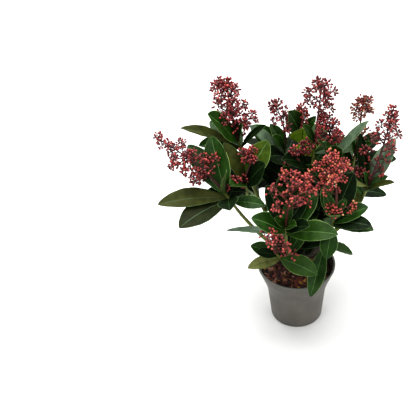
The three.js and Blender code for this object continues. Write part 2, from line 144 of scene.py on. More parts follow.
for name, (place, size, watts) in LAMPS.items():
    lamp = bpy.data.lights.new(name, "AREA")
    lamp.size = size
    lamp.energy = watts
    holder = put(name, lamp)
    holder.location = place
    holder.rotation_euler = (LAMPS_AIM - Vector(place)).to_track_quat("-Z", "Y").to_euler()

half = FLOOR_SIZE / 2
floor_mesh = bpy.data.meshes.new("floor")
floor_corners = [(-half, -half, 0), (half, -half, 0), (half, half, 0), (-half, half, 0)]
floor_mesh.from_pydata(floor_corners, [], [(0, 1, 2, 3)])
floor_paint = bpy.data.materials.new("studio_white")
floor_paint.use_nodes = True
floor_paint.node_tree.nodes["Principled BSDF"].inputs["Base Color"].default_value = srgb(*FLOOR_COLOUR)
floor_paint.node_tree.nodes["Principled BSDF"].inputs["Roughness"].default_value = 0.9
floor_mesh.materials.append(floor_paint)
floor = put("floor", floor_mesh)
print("lamps:", len(LAMPS))

# %% [markdown]
# ## Two effects that every finish shares
# Nothing that grew, and no plastic that stood in a garden centre, has one even colour. The node
# group *mottling* drifts between two colours in soft patches, and *fine_relief* gives small bumps
# with a roughness that follows them. *upright_relief* is the same, pulled long for bark. Each is
# built once and placed in the materials with its own values. They read the place in the model, so
# they need no unwrapping. The groups give only colours and numbers, and the Principled shader
# stays in the material.

# %% Shader groups
PATCH_DETAIL = 4.0
GRAIN_DETAIL = 3.0
UPRIGHT_STRETCH = (1, 1, 0.15)


def wire(tree, node, inputs):
    """Fills a node's inputs: an output socket is linked, and anything else is set as the value."""
    for label, value in inputs.items():
        if isinstance(value, bpy.types.NodeSocket):
            tree.links.new(value, node.inputs[label])
        else:
            node.inputs[label].default_value = value


def add_node(tree, kind, inputs, **settings):
    node = tree.nodes.new("ShaderNode" + kind)
    for label, value in settings.items():
        setattr(node, label, value)
    wire(tree, node, inputs)
    return node


def new_group(name, inputs, outputs):
    """An empty shader group with named sockets, its input sockets and its end node."""
    group = bpy.data.node_groups.new(name, "ShaderNodeTree")
    for label, value in inputs.items():
        kind = "NodeSocketColor" if isinstance(value, tuple) else "NodeSocketFloat"
        group.interface.new_socket(name=label, in_out="INPUT", socket_type=kind).default_value = value
    for label, kind in outputs.items():
        group.interface.new_socket(name=label, in_out="OUTPUT", socket_type=kind)
    return group, group.nodes.new("NodeGroupInput").outputs, group.nodes.new("NodeGroupOutput")


def noise_in(group, scale, detail, stretch=(1, 1, 1)):
    """A noise that reads the place in the model, stretched along the axes."""
    place = add_node(group, "TexCoord", {}).outputs["Object"]
    mapping = add_node(group, "Mapping", {"Vector": place, "Scale": stretch})
    inputs = {"Vector": mapping.outputs["Vector"], "Scale": scale, "Detail": detail}
    return add_node(group, "TexNoise", inputs).outputs["Fac"]


def make_mottling():
    group, given, sink = new_group(
        "mottling", {"Scale": 60.0, "Edge": 0.18, "First": (0, 0, 0, 1), "Second": (1, 1, 1, 1)},
        {"Color": "NodeSocketColor"})
    pattern = noise_in(group, given["Scale"], PATCH_DETAIL)
    low = add_node(group, "Math", {0: 0.5, 1: given["Edge"]}, operation="SUBTRACT").outputs[0]
    high = add_node(group, "Math", {0: 0.5, 1: given["Edge"]}).outputs[0]
    spread = add_node(group, "MapRange", {"Value": pattern, "From Min": low, "From Max": high})
    mix = {"Factor": spread.outputs["Result"], "A": given["First"], "B": given["Second"]}
    wire(group, sink, {"Color": add_node(group, "Mix", mix, data_type="RGBA").outputs["Result"]})
    return group


def make_relief(name, stretch):
    group, given, sink = new_group(
        name, {"Scale": 400.0, "Smooth": 0.4, "Rough": 0.6},
        {"Height": "NodeSocketFloat", "Roughness": "NodeSocketFloat"})
    height = noise_in(group, given["Scale"], GRAIN_DETAIL, stretch)
    spread = add_node(group, "MapRange", {
        "Value": height, "From Min": 0.3, "From Max": 0.7,
        "To Min": given["Smooth"], "To Max": given["Rough"]})
    wire(group, sink, {"Height": height, "Roughness": spread.outputs["Result"]})
    return group


mottling = make_mottling()
fine_relief = make_relief("fine_relief", (1, 1, 1))
upright_relief = make_relief("upright_relief", UPRIGHT_STRETCH)
print("groups:", [group.name for group in bpy.data.node_groups])

# %% [markdown]
# ## Finishes
# One function makes every material from these groups: a pair of colours to drift between and
# how large the patches are, how smooth and how rough it gets, and how deep and how fine its
# relief is. Shine that is the same all over goes straight on the shader's own socket. A leathery
# leaf face is waxy, so it mirrors light less than wet paint would.

# %% Materials
WAXY = (0.34, 0.5)
DULL = (0.45, 0.6)
MATT = (0.5, 0.65)


def finish(name, first, second, patch, gloss, relief, grain=fine_relief, edge=0.18, shine=0.5):
    """A material. patch and relief[1] are sizes in metres, relief[0] is a depth in metres."""
    material = bpy.data.materials.new(name)
    material.use_nodes = True
    tree = material.node_tree
    tones = {"Scale": 1 / patch, "Edge": edge, "First": srgb(*first), "Second": srgb(*second)}
    colour = add_node(tree, "Group", tones, node_tree=mottling)
    bumps = {"Scale": 1 / relief[1], "Smooth": gloss[0], "Rough": gloss[1]}
    surface = add_node(tree, "Group", bumps, node_tree=grain)
    bump = add_node(tree, "Bump", {"Distance": relief[0], "Height": surface.outputs["Height"]})
    wire(tree, tree.nodes["Principled BSDF"], {
        "Base Color": colour.outputs["Color"], "Roughness": surface.outputs["Roughness"],
        "Normal": bump.outputs["Normal"], "Specular IOR Level": shine})
    return material


def family(prefix, patch, gloss, relief, colours):
    """Finishes that differ in nothing but their two colours."""
    return {name: finish(prefix + name, *pair, patch, gloss, relief) for name, pair in colours.items()}


POT_PLASTIC = finish("pot_plastic", (74, 71, 65), (88, 84, 78), 0.03, (0.42, 0.6), (0.0002, 0.0012))
# The top of the lip is lighter and greener than the wall: a painted highlight where light falls on it.
RIM_HIGHLIGHT = finish("rim_painted_highlight", (92, 94, 86), (108, 110, 102), 0.02, (0.4, 0.6), (0.0002, 0.0012))
PEAT = finish("peat", (18, 9, 7), (52, 26, 18), 0.006, (0.8, 1.0), (0.003, 0.003), edge=0.1)
OLD_BARK = finish(
    "old_bark", (58, 50, 30), (86, 74, 44), 0.006, (0.6, 0.85), (0.001, 0.0025), upright_relief)
BROWN_BARK = finish(
    "brown_bark", (34, 31, 18), (54, 48, 27), 0.006, (0.55, 0.8), (0.0006, 0.002), upright_relief)
GREEN_BARK = finish("green_bark", (78, 88, 34), (112, 122, 54), 0.01, (0.45, 0.65), (0.0004, 0.0015))
CHIPS = [
    finish("chip_dark", (30, 14, 11), (58, 30, 22), 0.003, (0.7, 0.95), (0.001, 0.0015), upright_relief),
    finish("chip_red", (70, 31, 21), (118, 58, 42), 0.003, (0.65, 0.9), (0.001, 0.0015), upright_relief),
    *family("chip_", 0.003, (0.6, 0.9), (0.0008, 0.0015), {
        "ochre": ((128, 86, 34), (176, 128, 62)), "grey": ((112, 74, 62), (150, 108, 92))}).values(),
]

# Upper faces: the two colours, the gloss and the shine.
LEAF_COLOURS = {
    # shade: a near-black green, painted shade for leaves deep in the crown and in its dark gaps.
    "shade": ((8, 20, 5), (16, 34, 9), DULL, 0.08),
    "deep": ((22, 48, 8), (36, 68, 14), WAXY, 0.16),
    "mid": ((30, 58, 9), (46, 77, 18), WAXY, 0.22),
    "olive": ((40, 46, 13), (60, 64, 23), DULL, 0.12),
    "bright": ((50, 92, 14), (74, 116, 30), WAXY, 0.22),
    "dusk": ((22, 29, 8), (36, 43, 13), DULL, 0.12),
    "sage": ((84, 90, 48), (112, 116, 70), DULL, 0.12),
    # grey: a paler, greyer green that is a painted sheen of light on the leaf face, over the real gloss of
    # its shine.
    "grey": ((68, 88, 68), (110, 130, 106), WAXY, 0.3),
    # backlit_lime: the leaf's own yellow-green, brightened as painted light so it glows though it lies in
    # shade.
    "backlit_lime": ((160, 214, 52), (196, 232, 84), MATT, 0.1),
    "yellow": ((44, 62, 6), (68, 88, 14), MATT, 0.1),
}
LEAF_TINTS = {
    name: finish("leaf_" + name, first, second, 0.012, gloss, (0.00035, 0.0011), shine=shine)
    for name, (first, second, gloss, shine) in LEAF_COLOURS.items()}
UNDERSIDE = finish("leaf_underside", (58, 78, 30), (84, 102, 46), 0.012, (0.6, 0.8), (0.0003, 0.001))
PALE_EDGED = ("deep", "mid", "bright", "grey", "backlit_lime", "yellow")
# Tints outside PALE_EDGED get the dark rib and edge; on the shade tint that darkening is painted shade too.
LEAF_LINES = family("", 0.01, (0.4, 0.55), (0.0002, 0.001), {
    "rib_dark": ((30, 56, 18), (44, 74, 28)), "rib_pale": ((62, 100, 42), (88, 124, 60)),
    "edge_dark": ((52, 80, 34), (74, 104, 50)), "edge_pale": ((96, 128, 62), (134, 162, 96))})
STALKS = family("stalk_", 0.008, (0.5, 0.7), (0.0004, 0.001), {
    "red": ((62, 20, 14), (90, 36, 24)), "dark": ((46, 14, 15), (70, 26, 26))})
BUD_TINTS = family("bud_", 0.0025, (0.32, 0.46), (0.0003, 0.0008), {
    "coral": ((162, 60, 56), (192, 90, 80)), "crimson": ((118, 34, 36), (148, 56, 52)),
    "wine": ((76, 22, 24), (106, 38, 36)), "orange": ((160, 72, 50), (188, 100, 70)),
    "cream": ((180, 122, 84), (204, 152, 114)), "brown": ((104, 52, 36), (140, 82, 56))})
print("materials:", len(bpy.data.materials))

# %% [markdown]
# ## Making meshes
# A stem, a leaf, a bud and the pot are all made the same way: a row of rings, one after another,
# with a skin between them and a lid on each end. What differs is only where the rings are. A heap
# gathers many such skins, and turns them into one object with one material slot for each finish,
# because thousands of small objects would be slow to draw and to export.

# %% Rings, skins and heaps
def skin(rings):
    """Points and faces of a closed skin over rings, an array of (ring, point, xyz)."""
    count, sides = rings.shape[:2]
    points = rings.reshape(-1, 3)
    ring, side = np.meshgrid(np.arange(count - 1), np.arange(sides), indexing="ij")
    here = (ring * sides + side).ravel()
    beside = (ring * sides + (side + 1) % sides).ravel()
    quads = np.stack([here, beside, beside + sides, here + sides], axis=1)
    lids = np.stack([np.arange(sides)[::-1], np.arange(sides) + (count - 1) * sides])
    a, b, c, d = (points[quads[:, k]] for k in range(4))
    volume = np.einsum("ij,ij->", a, np.cross(b, c)) + np.einsum("ij,ij->", a, np.cross(c, d))
    for lid in lids:
        middle = points[lid].mean(axis=0)
        volume += np.einsum("ij,ij->", np.cross(points[lid], points[np.roll(lid, -1)]), [middle] * sides)
    if volume < 0:
        quads = quads[:, ::-1]
        lids = lids[:, ::-1]
    return points, quads, lids


class Heap:
    """Gathers skins, each with its own finishes, and turns them into one piece."""

    def __init__(self):
        self.points, self.faces, self.slots, self.finishes, self.total = [], [], [], [], 0

    def slot(self, material):
        if material not in self.finishes:
            self.finishes.append(material)
        return self.finishes.index(material)

    def add(self, rings, materials):
        """materials is one finish, or one for each strip along the skin."""
        points, quads, lids = skin(rings)
        strips = materials if isinstance(materials, list) else [materials]
        slots = np.array([self.slot(material) for material in strips])
        around = slots[np.arange(rings.shape[1]) % len(slots)]
        self.points.append(points)
        self.faces += [quads + self.total, lids + self.total]
        self.slots += [np.tile(around, rings.shape[0] - 1), np.full(2, slots[0])]
        self.total += len(points)

    def piece(self, name, slot, replaces=(), smooth=True):
        """The heap as one object that rides on the plant's body."""
        mesh = bpy.data.meshes.new(name)
        faces = [face for block in self.faces for face in block.tolist()]
        mesh.from_pydata(np.concatenate(self.points), [], faces)
        mesh.polygons.foreach_set("material_index", np.concatenate(self.slots).astype(np.int32))
        mesh.polygons.foreach_set("use_smooth", np.full(len(faces), smooth))
        for material in self.finishes:
            mesh.materials.append(material)
        obj = put(name, mesh)
        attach(obj, "root")
        if replaces:
            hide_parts(*replaces)
        print(f"{name}: {len(mesh.loops) - 2 * len(faces)} triangles, {len(self.finishes)} finishes")
        return obj


def tube_rings(line, radii, sides, relief=None):
    """Round rings along a line of points. relief adds to the radius at each ring and side."""
    line = np.asarray(line, float)
    tangents = np.gradient(line, axis=0)
    tangents /= np.linalg.norm(tangents, axis=1)[:, None]
    across = np.cross(tangents[0], (0, 0, 1) if abs(tangents[0][2]) < 0.9 else (1, 0, 0))
    angles = np.arange(sides) / sides * 2 * math.pi
    rings = []
    for k, (point, tangent) in enumerate(zip(line, tangents)):
        across = across - tangent * (across @ tangent)
        across /= np.linalg.norm(across)
        upward = np.cross(tangent, across)
        radius = radii[k] + (relief[k] if relief is not None else 0)
        turned = np.cos(angles)[:, None] * across + np.sin(angles)[:, None] * upward
        rings.append(point + turned * np.reshape(radius, (-1, 1)))
    return np.array(rings)


def lathe_rings(profile, sides):
    """Rings round the Z axis through (radius, height) points."""
    angles = np.arange(sides) / sides * 2 * math.pi
    circle = np.stack([np.cos(angles), np.sin(angles), np.zeros(sides)], axis=1)
    return np.array([circle * radius + (0, 0, height) for radius, height in profile])


def bezier(points, t):
    """Points on a Bezier curve through control points, and the curve's direction, at each t."""
    points = [np.asarray(p, float) for p in points]
    t = np.asarray(t, float)[:, None]
    order = len(points) - 1
    place = sum(math.comb(order, k) * t**k * (1 - t) ** (order - k) * p for k, p in enumerate(points))
    legs = [order * (b - a) for a, b in zip(points, points[1:])]
    speed = sum(math.comb(order - 1, k) * t**k * (1 - t) ** (order - 1 - k) * p for k, p in enumerate(legs))
    return place, speed / np.linalg.norm(speed, axis=1)[:, None]


def point_on(curve, t):
    """One point on a curve, and the direction there."""
    return (v[0] for v in bezier(curve, [t]))


def lerp(a, b, t):
    return a + (b - a) * t


def unit(v):
    return v / np.linalg.norm(v)


def chance(seed, k):
    """A steady number from 0 to 1, for draw k of a seed."""
    return math.sin(seed * 12.9898 + k * 78.233) * 43758.5453 % 1.0


print("a tube of two rings has", len(skin(tube_rings([(0, 0, 0), (0, 0, 1)], (1, 1), 6))[1]), "sides")

# %% [markdown]
# ## The pot
# A nursery pot is thin moulded plastic: a slow taper, a flare near the top, a band under a small
# lip, and holes in the floor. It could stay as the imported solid, but that has flat facets, so its
# profile is turned again here with many more sides. The lip and the foot get small round edges,
# and faint rings are pressed into the band, as the mould leaves them. A Boolean cuts the holes.

# %% Pot
RIM_RADIUS = 0.060
LIP = 0.0012
LIP_HEIGHT = 0.003
LIP_ROUND = 0.0004
BAND_HEIGHT = 0.013
BAND_SLOPE = 0.0026
FOOT_RADIUS = 0.0405
FOOT_ROUND = 0.002
SHOULDER_HEIGHT = 0.052
SHOULDER_RADIUS = 0.0453
FLARE_POWER = 1.35
WALL = 0.0016
POT_FLOOR = 0.003
POT_SIDES = 144
OUTSIDE_RINGS = 110
INSIDE_RINGS = 30
DRAIN_HOLES = 6
DRAIN_RADIUS = 0.004
DRAIN_CIRCLE = 0.027
DRAIN_SIDES = 28
MOULD_RINGS = [(0.0885, 0.00035), (0.0925, 0.00025), (0.0755, 0.00025)]   # height, depth
MOULD_RING_WIDTH = 0.0009


def wall_radius(z):
    """The outside of the wall at a height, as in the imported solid."""
    band_foot = POT_HEIGHT - BAND_HEIGHT
    band_radius = RIM_RADIUS - LIP - BAND_SLOPE
    if z <= SHOULDER_HEIGHT:
        return lerp(FOOT_RADIUS, SHOULDER_RADIUS, z / SHOULDER_HEIGHT)
    if z >= band_foot:
        return band_radius + BAND_SLOPE * (z - band_foot) / BAND_HEIGHT
    flare = (z - SHOULDER_HEIGHT) / (band_foot - SHOULDER_HEIGHT)
    return lerp(SHOULDER_RADIUS, band_radius, flare**FLARE_POWER)


def ringed_radius(z):
    pressed = sum(depth * math.exp(-(((z - at) / MOULD_RING_WIDTH) ** 2)) for at, depth in MOULD_RINGS)
    return wall_radius(z) - pressed


def arc(middle, radius, start, end, steps):
    """Profile points on an arc, between two angles in degrees."""
    angles = [math.radians(lerp(start, end, k / steps)) for k in range(steps + 1)]
    return [(middle[0] + radius * math.cos(a), middle[1] + radius * math.sin(a)) for a in angles]


def make_pot():
    lip_foot = POT_HEIGHT - LIP_HEIGHT
    edge = LIP_ROUND
    inner_lip = RIM_RADIUS - LIP - WALL
    outside = [(ringed_radius(z), z) for z in np.linspace(FOOT_ROUND, lip_foot - edge, OUTSIDE_RINGS)]
    inside = [(wall_radius(z) - WALL, z) for z in np.linspace(lip_foot, POT_FLOOR, INSIDE_RINGS)]
    profile = [
        *arc((FOOT_RADIUS - FOOT_ROUND, FOOT_ROUND), FOOT_ROUND, -90, 0, 6)[:-1],
        *outside,
        *arc((RIM_RADIUS - edge, lip_foot + edge), edge, -90, 0, 4),
        *arc((RIM_RADIUS - edge, POT_HEIGHT - edge), edge, 0, 90, 4),
        *arc((inner_lip + edge, POT_HEIGHT - edge), edge, 90, 180, 4),
        *inside,
    ]
    heap = Heap()
    heap.add(lathe_rings(profile, POT_SIDES), POT_PLASTIC)
    pot = heap.piece("pot_shell", "pot_plastic", ["pot"])
    pot.data.materials.append(RIM_HIGHLIGHT)
    # Faces on the top of the lip take the painted-highlight colour.
    for face in pot.data.polygons:
        if face.center.z > POT_HEIGHT - edge:
            face.material_index = 1
    return pot


def cut_drains(pot):
    drill_heap = Heap()
    for k in range(DRAIN_HOLES):
        angle = (k + 0.5) / DRAIN_HOLES * 2 * math.pi
        centre = np.array([math.cos(angle), math.sin(angle), 0]) * DRAIN_CIRCLE
        tool = lathe_rings([(DRAIN_RADIUS, -POT_FLOOR), (DRAIN_RADIUS, POT_FLOOR * 2)], DRAIN_SIDES) + centre
        drill_heap.add(tool, POT_PLASTIC)
    drill = drill_heap.piece("drain_drill", "pot_plastic")
    cut = pot.modifiers.new("drains", "BOOLEAN")
    cut.operation = "DIFFERENCE"
    cut.object = drill
    bpy.context.view_layer.objects.active = pot
    bpy.ops.object.modifier_apply(modifier=cut.name)
    bpy.data.objects.remove(drill)


pot = make_pot()
cut_drains(pot)
print("pot:", len(pot.data.polygons), "faces,", DRAIN_HOLES, "drain holes")

# %% [markdown]
# ## The potting bark
# The pot is filled with dark, moist composted bark. Seen close, it is a crumbly bed with flat
# chips lying on it at all angles, some still reddish or pale, and thin fibres between them. A
# displaced bed alone would look like mud, so the chips and the fibres are real pieces on top.

# %% Potting bark
SOIL_TOP = 0.093
SOIL_DIP = 0.003
SOIL_SINK = 0.001
# Lumps per metre, and how high they are.
COARSE_LUMPS, COARSE_HEIGHT = 90, 0.0016
FINE_LUMPS, FINE_HEIGHT = 330, 0.0009
SOIL_SIDES = 160
SOIL_RINGS = 60
SOIL_CLEAR = 0.0003
SOIL_REACH = 0.054
CHIP_COUNT = 420
CHIP_PROFILE = [(0.45, -1), (0.95, -0.6), (1, 0.5), (0.6, 1)]
CHIP_LENGTHS = (0.004, 0.014)
CHIP_WIDTHS = (0.3, 0.6)
CHIP_THICKNESSES = (0.0008, 0.002)
CHIP_TILT = 0.35
CHIP_RAGGED = 0.13
CHIP_SHARES = [0.6, 0.26, 0.06, 0.08]
FIBRE_COUNT = 190
FIBRE_STEPS = 8
FIBRE_LENGTHS = (0.008, 0.022)
FIBRE_RADII = (0.0002, 0.00045)
FIBRE_BEND = 70
FIBRE_SHARES = [0.3, 0.6, 0.1]
CROWN_FLARE_RADIUS = 0.014
soil_rng = np.random.default_rng(11)


def soil_height(x, y):
    """The bed sinks a little to the side and is crumbly all over."""
    outward = min(1.0, math.hypot(x, y) / 0.055)
    coarse = noise.noise(Vector((x, y, 0)) * COARSE_LUMPS)
    fine = noise.noise(Vector((x, y, 0.3)) * FINE_LUMPS)
    return SOIL_TOP - SOIL_DIP * outward**2 - SOIL_SINK + COARSE_HEIGHT * coarse + FINE_HEIGHT * fine


def make_bed():
    reach = wall_radius(SOIL_TOP) - WALL - SOIL_CLEAR
    rings = []
    for z in (POT_FLOOR + SOIL_CLEAR, SHOULDER_HEIGHT, 0.072, 0.082):
        rings.append(lathe_rings([(wall_radius(z) - WALL - SOIL_CLEAR, z)], SOIL_SIDES)[0])
    for radius in np.linspace(reach, 0.0008, SOIL_RINGS):
        ring = lathe_rings([(radius, 0)], SOIL_SIDES)[0]
        ring[:, 2] = [soil_height(x, y) for x, y, _ in ring]
        rings.append(ring)
    heap = Heap()
    heap.add(np.array(rings), PEAT)
    return heap.piece("potting_bed", "potting_bark", ["potting_bark"])


def scatter(inner, outer):
    """An even random place on the bed, between two radii."""
    radius = math.sqrt(soil_rng.uniform(inner**2, outer**2))
    angle = soil_rng.uniform(0, 2 * math.pi)
    return radius * math.cos(angle), radius * math.sin(angle)


def make_chips():
    heap = Heap()
    for _ in range(CHIP_COUNT):
        length = soil_rng.uniform(*CHIP_LENGTHS)
        x, y = scatter(CROWN_FLARE_RADIUS + 0.002, SOIL_REACH - length / 2)
        width = length * soil_rng.uniform(*CHIP_WIDTHS)
        size = np.array([length, width, soil_rng.uniform(*CHIP_THICKNESSES)]) / 2
        heading = Matrix.Rotation(soil_rng.uniform(0, 6.3), 3, "Z")
        turn = np.array(heading @ Matrix.Rotation(soil_rng.normal(0, CHIP_TILT), 3, "Y")).T
        rings = lathe_rings(CHIP_PROFILE, 9)
        rings *= 1 + soil_rng.normal(0, CHIP_RAGGED, rings.shape)
        place = np.array([x, y, soil_height(x, y) + size[2] * 0.8])
        heap.add(rings * size @ turn + place, CHIPS[soil_rng.choice(4, p=CHIP_SHARES)])
    return heap.piece("bark_chips", "potting_bark", smooth=False)


def make_fibres():
    heap = Heap()
    for _ in range(FIBRE_COUNT):
        x, y = scatter(CROWN_FLARE_RADIUS + 0.003, 0.047)
        length = soil_rng.uniform(*FIBRE_LENGTHS)
        heading = soil_rng.uniform(0, 6.3)
        bend = soil_rng.normal(0, FIBRE_BEND)
        line = []
        for _ in range(FIBRE_STEPS + 1):
            x += math.cos(heading) * length / FIBRE_STEPS
            y += math.sin(heading) * length / FIBRE_STEPS
            heading += bend * length / FIBRE_STEPS
            line.append((x, y, soil_height(x, y) + 0.0012))
        if max(math.hypot(px, py) for px, py, _ in line) < SOIL_REACH:
            radii = np.full(FIBRE_STEPS + 1, soil_rng.uniform(*FIBRE_RADII))
            heap.add(tube_rings(line, radii, 5), CHIPS[soil_rng.choice(3, p=FIBRE_SHARES)])
    return heap.piece("bark_fibres", "potting_bark")


make_bed()
make_chips()
make_fibres()

# %% [markdown]
# ## The plan of the plant
# Every shoot has the same parts: a bough that carries it, a whorl of leaves round its end, and a
# flower head on a stalk above. So one row of numbers describes each shoot, and the rules below
# grow everything from it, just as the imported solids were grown. A row gives the place of the whorl
# and the head's tip as seen from there, the head's spread and the bare share of its stalk, how
# many twigs and ruled leaves there are, the leaves' length, and the bearing they start from. The
# ruled leaves follow the golden angle, which is how real leaves avoid shading each other.
#
# - *parent, fork*: the main bough that a side bough leaves, and where along it.
# - *placed*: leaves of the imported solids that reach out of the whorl, each by bearing and rise in
#   degrees, length, width, tint and the turn of its face. *extra*: more leaves between them, each
#   with the share of the whorl's stem where it starts as its first number.
# - *skip, cut*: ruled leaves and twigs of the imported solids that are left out, as the real plant has
#   a gap there. *sprigs*: short branches of the head, by share of its stalk, bearing, rise, length.
# - *young, heart, old*: how many leaves fill the foot of the head, the upper bough and the lower.
# - *kind*: what its buds are like. *stalk*: the share of the head's curve where its stalk ends.
# - *brown*: the share of the bough that has brown bark.

# %% Shoots
ROW = ("name", "whorl", "head", "spread", "bare", "twigs", "leaves", "length", "phase")


class Shoot:
    """A row of the plan, and later all that grows from it."""

    fork, placed, extra, skip, cut, sprigs = None, (), (), (), (), ()
    kind, stalk, young, heart = "slim", 0.93, 4, 0

    def __init__(self, *row, parent=None, **others):
        self.parent = parent
        self.old, self.brown = (0, 0) if parent else (6, 0.3)
        self.__dict__.update(zip(ROW, row), **others)


